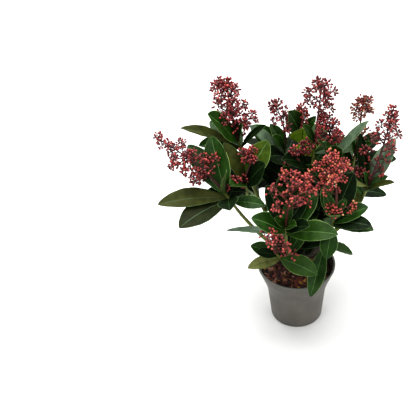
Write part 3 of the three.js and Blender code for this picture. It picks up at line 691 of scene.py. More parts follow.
# Leaves with the shade tint are painted shade; the extra ones of that tint fill dark gaps in the crown.
SHOOTS = [
    Shoot("left_tall", (-0.08, 0.055, 0.268), (-0.023, 0.028, 0.121), 0.031, 0.2, 13, 6, 0.08, 60,
          stalk=0.85,
          sprigs=[(0.2, 26, 32, 0.036), (0.15, 32, 36, 0.023), (0.8, 171, 25, 0.022), (0.8, 149, 46, 0.019)],
          placed=[(-162, 34, 0.105, 0.022, "olive", -25), (-145, 57, 0.092, 0.036, "deep", -60),
                  (-25, 52, 0.07, 0.014, "shade", 40)],
          extra=[(0.6, 145, 46, 0.045, 0.022, "mid", 0), (0.1, -146, -20, 0.034, 0.012, "bright", 0)]),
    Shoot("left_low", (-0.092, -0.02, 0.236), (-0.113, 0.05, 0.084), 0.026, 0.24, 13, 5, 0.08, 250,
          kind="dark", skip=(0, 3), young=0, old=0,
          sprigs=[(0.04, 35, 34, 0.02), (0.3, 56, 47, 0.028), (0.35, -149, -27, 0.023),
                  (0.55, -163, -9, 0.03)],
          placed=[(-171, 4, 0.103, 0.031, "olive", -25), (-144, -4, 0.086, 0.041, "dusk", -24),
                  (134, 32, 0.1, 0.032, "deep", 0), (114, 55, 0.09, 0.038, "deep", 0),
                  (-12, 5, 0.051, 0.02, "deep", 30)]),
    Shoot("centre_tall", (0.025, 0.06, 0.262), (0.013, 0.025, 0.12), 0.028, 0.48, 12, 7, 0.08, 100,
          kind="open", skip=(2, 4), stalk=0.85, heart=10,
          sprigs=[(0.02, -127, 9, 0.03), (0.02, -140, -2, 0.042), (0.02, -153, -26, 0.05)]),
    Shoot("front", (-0.015, -0.05, 0.196), (0.016, 0.02, 0.095), 0.043, 0.38, 17, 5, 0.075, 320,
          kind="plump", skip=(2,),
          placed=[(-25, 22, 0.086, 0.031, "mid", 25), (180, 32, 0.058, 0.03, "deep", -20),
                  (173, 4, 0.088, 0.018, "grey", 15), (135, 58, 0.074, 0.028, "shade", -10),
                  (35, 44, 0.076, 0.034, "deep", 15)]),
    Shoot("right_front", (0.05, -0.04, 0.204), (-0.002, 0.03, 0.117), 0.032, 0.4, 15, 5, 0.07, 150,
          kind="warm", brown=0.5, cut=(0, 1, 2),
          sprigs=[(0.1, 150, 29, 0.018), (0.1, -81, 36, 0.022), (0.15, 7, 15, 0.032), (0.5, 145, 39, 0.05),
                  (0.4, 154, 32, 0.055)],
          placed=[(6, 30, 0.057, 0.03, "deep", 10), (-15, 8, 0.06, 0.032, "deep", 0),
                  (50, 55, 0.077, 0.032, "shade", 0), (-150, 16, 0.05, 0.03, "mid", -20)],
          extra=[(0.1, -100, -15, 0.051, 0.024, "deep", 0)]),
    Shoot("right_far", (0.096, 0.01, 0.222), (0.04, 0.045, 0.127), 0.026, 0.36, 12, 5, 0.062, 240,
          kind="open", skip=(1,), cut=(0, 1),
          sprigs=[(0.08, 154, 26, 0.019), (0.12, 36, 44, 0.034), (0.25, 133, 43, 0.033)],
          placed=[(-39, 40, 0.06, 0.014, "olive", 35)],
          extra=[(0.3, 44, 50, 0.095, 0.026, "grey", 0), (0.6, 101, 56, 0.085, 0.018, "shade", -60),
                 (0.9, -140, 30, 0.041, 0.015, "sage", 0), (0.1, -140, 20, 0.04, 0.024, "olive", -20)]),
    Shoot("mid_back", (-0.018, 0.075, 0.24), (-0.017, 0.025, 0.097), 0.017, 0.4, 8, 6, 0.075, 30,
          parent="left_tall", fork=0.45, kind="open", skip=(0,), stalk=0.85, heart=10,
          placed=[(-125, 60, 0.06, 0.018, "deep", -80), (-115, 35, 0.07, 0.032, "shade", -50)],
          extra=[(0.1, -177, 53, 0.087, 0.02, "grey", -40), (0.3, 165, 44, 0.075, 0.036, "deep", -30),
                 (0.7, 135, 49, 0.05, 0.028, "deep", 0), (0, 165, 28, 0.074, 0.034, "shade", 0)]),
    Shoot("left_inner", (-0.072, 0.008, 0.232), (0.01, 0.004, 0.058), 0.012, 0.5, 5, 4, 0.07, 300,
          parent="left_tall", fork=0.5, kind="dark", young=0, skip=(1,), stalk=1.0, cut=(0, 1, 2, 3),
          sprigs=[(0.1, -132, 29, 0.03), (0.9, 145, 42, 0.022), (0.9, 85, 55, 0.021), (0.8, 107, 54, 0.016)],
          placed=[(-22, 58, 0.06, 0.032, "shade", 40), (163, 72, 0.077, 0.026, "olive", 0)],
          extra=[(0.9, 48, 47, 0.072, 0.034, "yellow", 20)]),
    Shoot("back_centre", (0.01, 0.1, 0.244), (-0.005, 0.01, 0.069), 0.017, 0.45, 7, 7, 0.08, 10,
          parent="centre_tall", fork=0.5, skip=(6,), young=1, heart=10,
          # The yellow-green leaves here carry painted backlight.
          placed=[(-140, 68, 0.072, 0.03, "deep", -100), (-90, 57, 0.062, 0.038, "backlit_lime", 180)],
          extra=[(-0.8, -80, 70, 0.065, 0.036, "backlit_lime", 180)]),
    Shoot("right_back", (0.05, 0.05, 0.236), (-0.014, 0.024, 0.092), 0.026, 0.36, 12, 6, 0.075, 120,
          parent="centre_tall", fork=0.4, kind="dark", heart=10,
          placed=[(-26, 60, 0.108, 0.017, "grey", 60), (-75, 60, 0.08, 0.028, "deep", 120)]),
    Shoot("right_narrow", (0.084, 0.066, 0.232), (0.014, 0.024, 0.12), 0.02, 0.6, 9, 6, 0.075, 330,
          parent="right_far", fork=0.5, kind="fading", stalk=0.85, sprigs=[(0.2, 37, 46, 0.026)]),
    Shoot("low_left", (-0.022, -0.04, 0.146), (-0.008, -0.036, 0.07), 0.033, 0.35, 12, 2, 0.05, 80,
          parent="front", fork=0.35, kind="plump", young=0, cut=(1, 4, 5, 6),
          sprigs=[(0.3, -10, -11, 0.033), (0.3, 1, 0, 0.02)],
          placed=[(-38, 8, 0.069, 0.03, "mid", 0), (-175, 32, 0.048, 0.022, "deep", -15)],
          extra=[(0.1, -143, 16, 0.062, 0.019, "sage", -20)]),
    Shoot("low_right", (0.04, -0.014, 0.146), None, 0, 0, 0, 1, 0.055, 110,
          parent="right_front", fork=0.35, skip=(0,), brown=0.9,
          placed=[(-3, -14, 0.044, 0.024, "mid", 0), (-108, -31, 0.079, 0.024, "deep", 0)],
          extra=[(0.6, -160, 0, 0.05, 0.034, "shade", 0), (0.3, -155, 10, 0.05, 0.03, "shade", 0)]),
    Shoot("back_left", (-0.062, 0.088, 0.17), (-0.022, 0.018, 0.066), 0.022, 0.4, 7, 8, 0.08, 0,
          parent="left_tall", fork=0.3, heart=5),
    Shoot("back_middle", (-0.005, 0.108, 0.16), (0, 0.022, 0.062), 0.022, 0.4, 7, 8, 0.08, 210,
          parent="centre_tall", fork=0.28, heart=10),
    Shoot("back_right", (0.072, 0.084, 0.166), (0.014, 0.014, 0.058), 0.02, 0.4, 7, 8, 0.08, 90,
          parent="right_far", fork=0.3, heart=10),
]
by_name = {shoot.name: shoot for shoot in SHOOTS}
print("shoots:", len(SHOOTS), "placed leaves:", sum(len(shoot.placed) for shoot in SHOOTS))

# %% [markdown]
# ## Curves of the stems
# A bough leaves its parent along the parent's own direction and arrives along the new shoot's
# axis, so a cubic curve with a handle at each end draws it. The whorl's stem carries straight on,
# and the flower stalk bends over from there to the head's tip.

# %% Boughs, whorl stems and stalks as curves
GAP = 0.0003
GOLDEN_ANGLE = 137.5
CROWN_RADIUS = 0.009
CROWN_HEIGHT = 0.022
FORK_RADIUS = 0.004
FORK_HEIGHT = 0.016
BOUGH_LEAVE = 0.33
BOUGH_ARRIVE = 0.3
UPRIGHT = 0.8
WHORL_STEM = 0.024
RACHIS_STRAIGHT = 0.45
UP = np.array([0.0, 0.0, 1.0])


def draw_bough(shoot):
    whorl = np.array(shoot.whorl)
    outward = unit(whorl * (1, 1, 0))
    if shoot.parent:
        start, way = point_on(by_name[shoot.parent].bough, shoot.fork)
    else:
        start, way = outward * FORK_RADIUS + UP * (SOIL_TOP + FORK_HEIGHT), unit(outward + UP)
    chord = whorl - start
    length = np.linalg.norm(chord)
    if shoot.parent:
        way = unit(way + chord / length)
    rise = unit(np.array(shoot.head)) if shoot.head else UP
    shoot.axis = unit(rise + chord / length + UP * UPRIGHT)
    leave = start + way * length * BOUGH_LEAVE
    shoot.bough = [start, leave, whorl - shoot.axis * length * BOUGH_ARRIVE, whorl]
    shoot.foot = whorl + shoot.axis * GAP
    shoot.top = shoot.foot + shoot.axis * WHORL_STEM
    if shoot.head:
        foot = shoot.top + shoot.axis * GAP
        tip = whorl + np.array(shoot.head)
        bend = foot + shoot.axis * np.linalg.norm(foot - tip) * RACHIS_STRAIGHT
        shoot.rachis = [foot, bend, tip]


for shoot in SHOOTS:
    draw_bough(shoot)
print("axes drawn:", len(SHOOTS), "with flower heads:", sum(1 for shoot in SHOOTS if shoot.head))

# %% [markdown]
# ## Bark
# The short stem under the fork is old wood with upright fissures and a flare where it meets the
# bark in the pot. The boughs are young, almost smooth, brown at the foot and green above, with a
# small swelling wherever a leaf has fallen. Both reliefs move the real surface: noise pulled long
# for the fissures, and a bump on one side for each leaf scar.

# %% Root crown and boughs
BOUGH_ROOT_RADIUS = 0.0036
SIDE_BOUGH_ROOT_RADIUS = 0.0025
BOUGH_TIP_RADIUS = 0.0022
WHORL_TIP_RADIUS = 0.0016
CROWN_RINGS = 44
CROWN_SIDES = 72
CROWN_SUNK = 0.003
CROWN_LOBES, LOBE_DEPTH = 5, 0.0014
FISSURE_DEPTH = 0.0016
STEM_RINGS = 15
BARK_SIDES = 14
BARK_STEP = 0.0016
SCAR_SPACING = 0.011
SCAR_WIDTH = 0.0011
SCAR_HEIGHT = 0.00055
DENTS, DENT_DEPTH = 240, 0.00022


def make_crown():
    foot = SOIL_TOP - CROWN_SUNK
    rings = lathe_rings([(1, 0)] * CROWN_RINGS, CROWN_SIDES)
    for ring, h in zip(rings, np.linspace(0, 1, CROWN_RINGS)):
        flare = (CROWN_FLARE_RADIUS - CROWN_RADIUS) * max(0, 1 - h / 0.6) ** 2
        radius = (CROWN_RADIUS + flare) * math.sqrt(1 - max(0, (h - 0.72) / 0.28) ** 2 * 0.92)
        for k, point in enumerate(ring):
            angle = k / len(ring) * 2 * math.pi
            fissure = abs(noise.noise(Vector((point[0] * 7, point[1] * 7, h * 2.2))))
            lobe = LOBE_DEPTH * math.cos(CROWN_LOBES * angle + 0.8) * max(0, 1 - h / 0.5)
            outward = radius + lobe + FISSURE_DEPTH * fissure
            ring[k] = point * outward + UP * (foot + h * (CROWN_HEIGHT + CROWN_SUNK))
    heap = Heap()
    heap.add(rings, OLD_BARK)
    return heap.piece("root_crown_bark", "old_wood", ["root_crown"])


def bark_relief(line, seed):
    """Small dents everywhere, and a swelling on one side wherever a leaf has fallen."""
    relief = np.zeros((len(line), BARK_SIDES))
    run = np.concatenate([[0], np.cumsum(np.linalg.norm(np.diff(line, axis=0), axis=1))])
    for k, s in enumerate(run):
        scar = round(s / SCAR_SPACING)
        near = math.exp(-(((s - scar * SCAR_SPACING) / SCAR_WIDTH) ** 2))
        side = math.radians(scar * GOLDEN_ANGLE + seed)
        for j in range(BARK_SIDES):
            angle = j / BARK_SIDES * 2 * math.pi
            dent = noise.noise(Vector((math.cos(angle) * 1.4, math.sin(angle) * 1.4, s * DENTS + seed)))
            relief[k, j] = DENT_DEPTH * dent + SCAR_HEIGHT * near * max(0, math.cos(angle - side)) ** 2
    return relief


def make_boughs():
    heap = Heap()
    for shoot in SHOOTS:
        length = np.linalg.norm(shoot.bough[0] - shoot.bough[3])
        line, _ = bezier(shoot.bough, np.linspace(0, 1, int(length / BARK_STEP)))
        root = SIDE_BOUGH_ROOT_RADIUS if shoot.parent else BOUGH_ROOT_RADIUS
        radii = np.linspace(root, BOUGH_TIP_RADIUS, len(line))
        radii = np.concatenate([radii, np.linspace(BOUGH_TIP_RADIUS, WHORL_TIP_RADIUS, STEM_RINGS)])
        line = np.concatenate([line, np.linspace(shoot.foot, shoot.top, STEM_RINGS)])
        rings = tube_rings(line, radii, BARK_SIDES, bark_relief(line, shoot.phase))
        ripe = max(2, int(len(rings) * shoot.brown))
        heap.add(rings[:ripe], BROWN_BARK)
        heap.add(rings[ripe - 1:], GREEN_BARK)
    return heap.piece("bough_bark", "green_stem", ["bough_" + shoot.name for shoot in SHOOTS])


make_crown()
make_boughs()

# %% [markdown]
# ## One leaf
# A skimmia leaf is thick and leathery: an oval blade on a short stalk, folded a little along its
# midrib, arched over its length and waxy above, with a pale edge. Its section is a ring of
# eighteen points, ten over the top and eight below, so the strips between them can take their own
# finishes: the outer strips are the margin, the middle one is the midrib, and the strips below
# are the matt underside. Between the side veins the blade swells like a quilt.

# %% Leaf shape
LEAF_FOLD = 0.16
LEAF_ARCH = 0.06
LEAF_DROOP = 0.06
LEAF_FACES_UP = 0.5
LEAF_WIDTH_RATIO = 0.4
LIGHT = np.array([-0.1, -0.5, 0.86])
RULED_TWIST = 25
FILLER_TWIST = 60
LEAF_FULLNESS = 1.06
STALK_SHARE = 0.16
STALK_WIDTH = 0.003
STALK_THICKNESS = 0.0018
BLADE_THICKNESS = 0.0005
LEAF_STATIONS = 32
NEAR_TIP, AT_TIP = 0.965, 0.998
VEINS = 6
VEIN_SLANT = 0.13
VEIN_SWELL = 0.0006
WAVE = 0.012
WAVES = 1.6
RIB_DEPTH, RIB_WIDTH = 0.0003, 0.0012
KEEL_DEPTH, KEEL_WIDTH = 0.0005, 0.0013
TOP_COLUMNS = np.array([-1, -0.955, -0.62, -0.3, -0.03, 0.03, 0.3, 0.62, 0.955, 1])
LOW_COLUMNS = TOP_COLUMNS[-2:0:-1]


def squared(direction):
    """A direction square to the one given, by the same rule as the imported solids."""
    return unit(np.cross((1.0, 0, 0) if abs(direction[2]) > 0.9 else UP, direction))


def leaning(axis, bearing, lean):
    """The direction that leans so many degrees from an axis, at a bearing round it."""
    first = squared(axis)
    second = np.cross(axis, first)
    bearing, lean = math.radians(bearing), math.radians(lean)
    aside = first * math.cos(bearing) + second * math.sin(bearing)
    return aside * math.sin(lean) + axis * math.cos(lean)


def pointing(bearing, rise):
    """The direction at a bearing round the pot and a rise above the level, in degrees."""
    b, r = math.radians(bearing), math.radians(rise)
    return np.array([math.cos(r) * math.cos(b), math.cos(r) * math.sin(b), math.sin(r)])


def leaf_spine(base, direction, length, axis):
    """The three control points of a leaf's midline, and the direction that its upper face looks."""
    tip = base + direction * length - UP * LEAF_DROOP * length * (1 - direction[2] ** 2)
    chord = tip - base
    facing = axis + UP * LEAF_FACES_UP
    up = unit(facing - chord * (facing @ chord) / (chord @ chord))
    arch = LEAF_ARCH * math.sin(math.acos(max(-1, min(1, direction @ axis))))
    return [base, base + chord / 2 + up * 2 * arch * length, tip], up


def blade_width(t):
    """Half the blade's outline, as a share of its width: widest just past the middle."""
    return np.sin(math.pi * np.clip(t, 0, 1) ** 1.2) ** 0.7 / 2


def rolled(spine, up, roll):
    """The face turned about the leaf's own length by roll degrees."""
    across = np.cross(unit(spine[2] - spine[0]), up)
    return up * math.cos(math.radians(roll)) + across * math.sin(math.radians(roll))


def to_light(spine, up, twist):
    """The face turned about the leaf's own length towards the light, by twist degrees at most."""
    across = np.cross(unit(spine[2] - spine[0]), up)
    wish = math.degrees(math.atan2(across @ LIGHT, up @ LIGHT))
    return rolled(spine, up, max(-twist, min(twist, wish)))


def sideways(tangent, up):
    """The direction across the blade at each point of its midline."""
    side = np.cross(tangent, up)
    return side / np.linalg.norm(side, axis=1)[:, None]


def leaf_rings(spine, up, length, width, seed):
    t = np.append(np.linspace(0, NEAR_TIP, LEAF_STATIONS - 1), AT_TIP)
    place, tangent = bezier(spine, t)
    side = sideways(tangent, up)
    normal = np.cross(side, tangent)
    stalk = np.clip(1 - t / STALK_SHARE, 0, 1)
    half = np.maximum(STALK_WIDTH / 2 * np.minimum(1, (1 - t) * 12), blade_width(t) * width * LEAF_FULLNESS)
    thick = BLADE_THICKNESS + (STALK_THICKNESS - BLADE_THICKNESS) * stalk
    rings = []
    for columns, is_top in ((TOP_COLUMNS, True), (LOW_COLUMNS, False)):
        s = columns[None, :]
        w = half[:, None]
        swell = np.abs(np.sin(math.pi * (VEINS * (t[:, None] - VEIN_SLANT * np.abs(s)) + 0.5))) - 0.5
        wave = np.sin(2 * math.pi * (WAVES * t[:, None] + chance(seed, 3)) + 2 * s) * s**2
        height = LEAF_FOLD * np.abs(s) * w * (0.7 + 0.9 * chance(seed, 1))
        height = height + VEIN_SWELL * swell * (1 - stalk[:, None]) * np.minimum(1, w / 0.01)
        height = height + WAVE * length * wave * (w / width)
        if is_top:
            height = height - RIB_DEPTH * np.exp(-((s * w / RIB_WIDTH) ** 2))
        else:
            height = height - thick[:, None] - KEEL_DEPTH * np.exp(-((s * w / KEEL_WIDTH) ** 2))
        points = place[:, None, :] + side[:, None, :] * (s * w)[:, :, None]
        rings.append(points + normal[:, None, :] * (height + thick[:, None] / 2)[:, :, None])
    return np.concatenate(rings, axis=1)


def leaf_strips(tint):
    """The finish of each of the eighteen strips round a leaf's section."""
    shade = "_pale" if tint in PALE_EDGED else "_dark"
    blade, rib, edge = LEAF_TINTS[tint], LEAF_LINES["rib" + shade], LEAF_LINES["edge" + shade]
    top = [edge, blade, blade, blade, rib, blade, blade, blade, edge]
    return top + [UNDERSIDE] * 4 + [LEAF_LINES["rib_pale"]] + [UNDERSIDE] * 4


print("points round a leaf:", len(TOP_COLUMNS) + len(LOW_COLUMNS), "stations:", LEAF_STATIONS)

# %% [markdown]
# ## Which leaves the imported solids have
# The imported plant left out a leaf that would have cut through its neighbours, or turned it a
# little. A leaf grown here has to be the same one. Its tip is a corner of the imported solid, so
# each try is looked up among that node's corners: the first whose tip is there is the leaf.

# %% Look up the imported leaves
# Pairs are for the lowest and the innermost leaf.
LEAF_LEANS = (88, 40)
LEAF_LENGTHS = (1, 0.72)
LEAF_ROOTS = (0.15, 0.9)
TIP_TOLERANCE = 0.0003
PLACED_DETOURS = [(0, 0), (6, 0), (-6, 0), (0, 6), (0, -6), (12, -4), (-12, -4), (12, 6), (-12, 6)]
RULED_DETOURS = [(0, 0), (18, 0), (-18, 0), (0, -16), (18, -16), (-18, -16), (34, -8), (-34, -8)]


def corners_of(node):
    return np.array([vertex.co for vertex in frame["nodes"][node].data.vertices])


def is_corner(corners, point):
    return np.linalg.norm(corners - point, axis=1).min() < TIP_TOLERANCE


def grow_placed(shoot, corners):
    """The leaves that reach out of the whorl: spine, up, length, width and tint of each."""
    for bearing, rise, length, width, tint, roll in shoot.placed:
        for aside, lift in PLACED_DETOURS:
            direction = pointing(bearing + aside, rise + lift)
            share = 0.95 - math.acos(direction @ shoot.axis) / 2
            base = lerp(shoot.foot, shoot.top, np.clip(share, *LEAF_ROOTS))
            spine, up = leaf_spine(base, direction, length, shoot.axis)
            if is_corner(corners, spine[2]):
                yield spine, rolled(spine, up, roll), length, width, tint
                break


def grow_ruled(shoot, corners):
    """The leaves that the golden angle deals out, from the lowest and longest to the innermost."""
    for k in sorted(set(range(shoot.leaves)) - set(shoot.skip)):
        share = (k + 0.5) / shoot.leaves
        length = shoot.length * lerp(*LEAF_LENGTHS, share)
        base = lerp(shoot.foot, shoot.top, lerp(*LEAF_ROOTS, share))
        for aside, lift in RULED_DETOURS:
            turn = shoot.phase + k * GOLDEN_ANGLE + aside
            lean = lerp(*LEAF_LEANS, share) + lift
            spine, up = leaf_spine(base, leaning(shoot.axis, turn, lean), length, shoot.axis)
            if is_corner(corners, spine[2]):
                # Half the ruled leaves, by chance, take the painted-shade tint.
                tint = "shade" if chance(shoot.phase, 40 + k) < 0.5 else "deep"
                yield spine, to_light(spine, up, RULED_TWIST), length, length * LEAF_WIDTH_RATIO, tint
                break


for shoot in SHOOTS:
    corners = corners_of("whorl_" + shoot.name)
    shoot.made = list(grow_placed(shoot, corners))
    shoot.ruled = list(grow_ruled(shoot, corners))
print("leaves found in the packed solids:", sum(len(shoot.made) + len(shoot.ruled) for shoot in SHOOTS))

# %% [markdown]
# ## Filling the heart of the plant
# A living whorl also has young leaves round the foot of the flower stalk and older, shaded ones
# back along the bough, which make the middle of the plant dense and shaded. Most old ones also get
# the painted-shade tint, which darkens it further. They follow the same rule, shorter, and stay
# inside the reach of the leaves already there. A leaf that would cut through another, or through a
# stem, is left out: two coarse meshes of faces are tested for it.
# The leaves named in the plan come first, then the ruled ones, then the fillers.

# %% Young and old leaves
SHEET_START = 0.3
FORWARD_LIMIT = -0.02
HEART_HEIGHT = 0.2
OLD_LEAF_FLOOR = 0.112
STEM_SPACE, RACHIS_SPACE = 0.003, 0.002
# Pairs are for the lowest and the highest young leaf.
YOUNG_LEANS = (44, 26)
YOUNG_LENGTHS = (0.6, 0.42)
YOUNG_ROOTS = (0.86, 1.0)
YOUNG_WIDTH = 0.36
# The leans are for the highest and the lowest old leaf, the lengths for the longest and the shortest.
OLD_LEANS = (62, 86)
OLD_LENGTHS = (0.86, 0.66)
OLD_WIDTH = 0.42
EXTRA_DETOURS = [(aside, lift) for lift in (0, 5, -5, 10, -10) for aside in (0, 7, -7, 14, -14, 21, -21)]


def sheet_tree(spine, up, width):
    """A coarse test mesh of a leaf, without the foot of its stalk."""
    t = np.linspace(SHEET_START, 1, 9)
    place, tangent = bezier(spine, t)
    side = sideways(tangent, up)
    half = np.maximum(0.0015, blade_width(t) * width)[:, None]
    points = np.concatenate([place - side * half, place, place + side * half])
    faces = [(i + k, i + k + 1, i + k + 10, i + k + 9) for k in (0, 9) for i in range(8)]
    return BVHTree.FromPolygons([tuple(p) for p in points], faces)


def line_tree(curve, points, radius):
    """A coarse test mesh of a stem."""
    line = bezier(curve, np.linspace(0, 1, points))[0]
    points, quads, _ = skin(tube_rings(line, np.full(len(line), radius), 5))
    return BVHTree.FromPolygons([tuple(p) for p in points], [tuple(int(i) for i in q) for q in quads])


obstacles = []
for shoot in SHOOTS:
    obstacles.append(line_tree(shoot.bough, 12, STEM_SPACE))
    if shoot.head:
        obstacles.append(line_tree(shoot.rachis, 8, RACHIS_SPACE))
    obstacles += [sheet_tree(spine, up, width) for spine, up, _, width, _ in shoot.made]


def try_leaf(shoot, spine, up, length, width, tint):
    """Adds the leaf to its shoot unless it would cut through something."""
    tree = sheet_tree(spine, up, width)
    if any(tree.overlap(other) for other in obstacles):
        return False
    obstacles.append(tree)
    shoot.made.append((spine, up, length, width, tint))
    return True


def try_filler(shoot, base, direction, length, width, axis, tint):
    spine, up = leaf_spine(base, direction, length, axis)
    return try_leaf(shoot, spine, to_light(spine, up, FILLER_TWIST), length, width, tint)


def fill_extra(shoot):
    """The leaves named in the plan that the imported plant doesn't have."""
    for root, bearing, rise, length, width, tint, roll in shoot.extra:
        base = lerp(shoot.foot, shoot.top, root)
        for aside, lift in EXTRA_DETOURS:
            spine, up = leaf_spine(base, pointing(bearing + aside, rise + lift), length, shoot.axis)
            if try_leaf(shoot, spine, rolled(spine, up, roll), length, width, tint):
                break
        else:
            print("no room for a leaf of", shoot.name, "at bearing", bearing)


def fill_young(shoot):
    """Short upright leaves round the foot of the flower stalk."""
    for k in range(shoot.young):
        share = (k + 0.5) / shoot.young
        direction = leaning(shoot.axis, shoot.phase + 70 + k * GOLDEN_ANGLE, lerp(*YOUNG_LEANS, share))
        length = shoot.length * lerp(*YOUNG_LENGTHS, share)
        base = lerp(shoot.foot, shoot.top, lerp(*YOUNG_ROOTS, share))
        try_filler(shoot, base, direction, length, length * YOUNG_WIDTH, shoot.axis, "deep")


def fill_old(shoot, count, highest, lowest):
    """Shaded leaves back along a bough, none of which comes forward over the pot."""
    for k in range(count):
        share = (k + 0.5) / count
        place, way = point_on(shoot.bough, lerp(highest, lowest, share))
        length = shoot.length * lerp(*OLD_LENGTHS, chance(shoot.phase, 70 + k))
        for aside in range(0, 360, 40):
            turn = shoot.phase + 30 + aside + k * GOLDEN_ANGLE
            direction = leaning(way, turn, lerp(*OLD_LEANS, share))
            tip = place + direction * length
            outside = tip[1] < FORWARD_LIMIT or math.hypot(*tip[:2]) > RIM_RADIUS
            if tip[2] < OLD_LEAF_FLOOR or outside and tip[2] < HEART_HEIGHT:
                continue
            # Two of every three old leaves take the painted-shade tint.
            tint = "shade" if k % 3 else "deep"
            if try_filler(shoot, place, direction, length, length * OLD_WIDTH, way, tint):
                break


for shoot in SHOOTS:
    fill_extra(shoot)
kept = sum(try_leaf(shoot, *leaf) for shoot in SHOOTS for leaf in shoot.ruled)
for shoot in SHOOTS:
    if shoot.head:
        fill_young(shoot)
    fill_old(shoot, shoot.heart, 0.97, 0.45)
    fill_old(shoot, shoot.old, 0.5, 0.12)
print("ruled leaves kept:", kept, "leaves in all:", sum(len(shoot.made) for shoot in SHOOTS))

# %% [markdown]
# ## The foliage
# All leaves of a group of shoots are joined into one piece, with their finishes as its slots, and
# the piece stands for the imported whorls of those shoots.

# %% Leaves
def make_leaves(name, shoots):
    heap = Heap()
    for shoot in shoots:
        for spine, up, length, width, tint in shoot.made:
            heap.add(leaf_rings(spine, up, length, width, spine[2][0] * 900), leaf_strips(tint))
    return heap.piece(name, "glossy_leaf", ["whorl_" + shoot.name for shoot in shoots])


# Each group is a slice of the plant, by how far back its whorls are.
GROUPS = {
    group: [shoot for shoot in SHOOTS if near <= shoot.whorl[1] < far]
    for group, near, far in (("front", -1, 0.03), ("middle", 0.03, 0.07), ("back", 0.07, 1))}
for group, shoots in GROUPS.items():
    make_leaves("leaves_" + group, shoots)

# %% [markdown]
# ## One bud
# A bud is a small closed ball, a little longer than wide, with four faint ridges where its petals
# meet. It is made once, as rings round an axis, and each bud on the plant is this shape, turned
# and scaled. With thousands of them a smooth ball would cost ten times the faces for no gain.

# %% Bud
BUD_SIDES = 8
BUD_RIDGES = 4
BUD_RIDGE = 0.07
BUD_PROFILE = [(0.32, -1.0), (0.88, -0.6), (1.0, 0.05), (0.74, 0.66), (0.22, 1.0)]
bud_shape = lathe_rings(BUD_PROFILE, BUD_SIDES)
ridges = 1 + BUD_RIDGE * np.cos(np.arange(BUD_SIDES) / BUD_SIDES * BUD_RIDGES * 2 * math.pi)
bud_shape[:, :, :2] *= ridges[None, :, None]


def bud_rings(base, direction, radius, length):
    """A bud whose foot is at base."""
    first = squared(direction)
    axes = np.array([first * radius, np.cross(direction, first) * radius, direction * length / 2])
    return bud_shape @ axes + base + direction * length / 2


print("triangles in a bud:", 2 * BUD_SIDES * (len(BUD_PROFILE) - 1) + 2 * (BUD_SIDES - 2))

# %% [markdown]
# ## Kinds of flower head
# The front heads have plump bright buds, those behind slim dark ones, and one is fading to brown.
# A kind gives the radius and length of a bud, the clear space from bud to bud, the rays in a
# cluster, the gap between side clusters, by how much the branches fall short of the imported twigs
# at the foot and how much more at the top, the stalks' finish and the share of each bud colour.
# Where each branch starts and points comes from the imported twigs, looked up as the leaves were.

# %% Kinds and twigs
HEAD_KINDS = {
    "plump": (0.00162, 0.0034, 0.0045, 4, 0.012, 0.005, 0.006, "red",
              {"coral": 0.4, "crimson": 0.5, "orange": 0.04, "wine": 0.06}),
    "warm": (0.00146, 0.0032, 0.0034, 5, 0.009, 0.009, 0.008, "red",
             {"coral": 0.44, "crimson": 0.34, "orange": 0.18, "cream": 0.04}),
    "slim": (0.00165, 0.0044, 0.0029, 5, 0.0058, 0.004, 0.01, "dark",
             {"crimson": 0.56, "wine": 0.38, "coral": 0.06}),
    "open": (0.00165, 0.0046, 0.0034, 5, 0.0105, 0.004, 0.01, "dark",
             {"crimson": 0.36, "wine": 0.62, "coral": 0.02}),
    "fading": (0.0015, 0.0042, 0.003, 4, 0.007, 0.005, 0.006, "dark",
               {"wine": 0.34, "crimson": 0.14, "brown": 0.5, "cream": 0.02}),
    "dark": (0.00168, 0.0036, 0.0032, 5, 0.0064, 0.004, 0.014, "dark",
             {"crimson": 0.6, "coral": 0.06, "wine": 0.34}),
}
SHORTEST_TWIG = 0.011
LAST_TWIG = 0.96
TWIG_LEANS = (66, 30)
TWIG_DETOURS = [(0, 0), (25, 0), (-25, 0), (0, -16), (25, -16), (-25, -16)]


def head_width(s):
    return math.sin(math.pi * (0.25 + 0.67 * s)) ** 0.8


def head_twigs(shoot):
    """Base, tip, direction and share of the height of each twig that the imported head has."""
    corners = corners_of("head_" + shoot.name)
    end, _ = point_on(shoot.rachis, shoot.stalk)
    for i in sorted(set(range(shoot.twigs)) - set(shoot.cut)):
        s = (i + 0.5) / shoot.twigs
        height = lerp(shoot.bare, LAST_TWIG, s)
        place, way = point_on(shoot.rachis, height)
        shift = end - place if height > shoot.stalk else 0
        reach = shoot.spread * head_width(s) * lerp(0.85, 1.05, chance(shoot.phase, i))
        for aside, lift in TWIG_DETOURS:
            lean = lerp(*TWIG_LEANS, s) + lift
            direction = leaning(way, shoot.phase + i * GOLDEN_ANGLE + aside, lean)
            tip = place + direction * max(SHORTEST_TWIG, reach)
            if is_corner(corners, tip):
                yield place + shift, tip + shift, direction, s
                break


def leaf_surface():
    """One test tree over all leaves."""
    points, faces = [], []
    for group in GROUPS:
        mesh = bpy.data.objects["leaves_" + group].data
        faces += [[i + len(points) for i in face.vertices] for face in mesh.polygons]
        points += [vertex.co.copy() for vertex in mesh.vertices]
    return BVHTree.FromPolygons(points, faces)


leaf_tree = leaf_surface()
print("head kinds:", list(HEAD_KINDS))

# %% [markdown]
# ## Flower heads
# A head is a branched spray: side branches leave the reddish stalk by the golden angle, and each
# ends in a small round cluster. In a cluster, four to six rays spread from one point, and every
# ray forks into three little stalks with one bud each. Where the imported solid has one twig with
# one large tuft, here grows such a branch. A bud that would sit in a leaf or in another bud is
# left out, so the clusters stay airy where heads meet leaves.

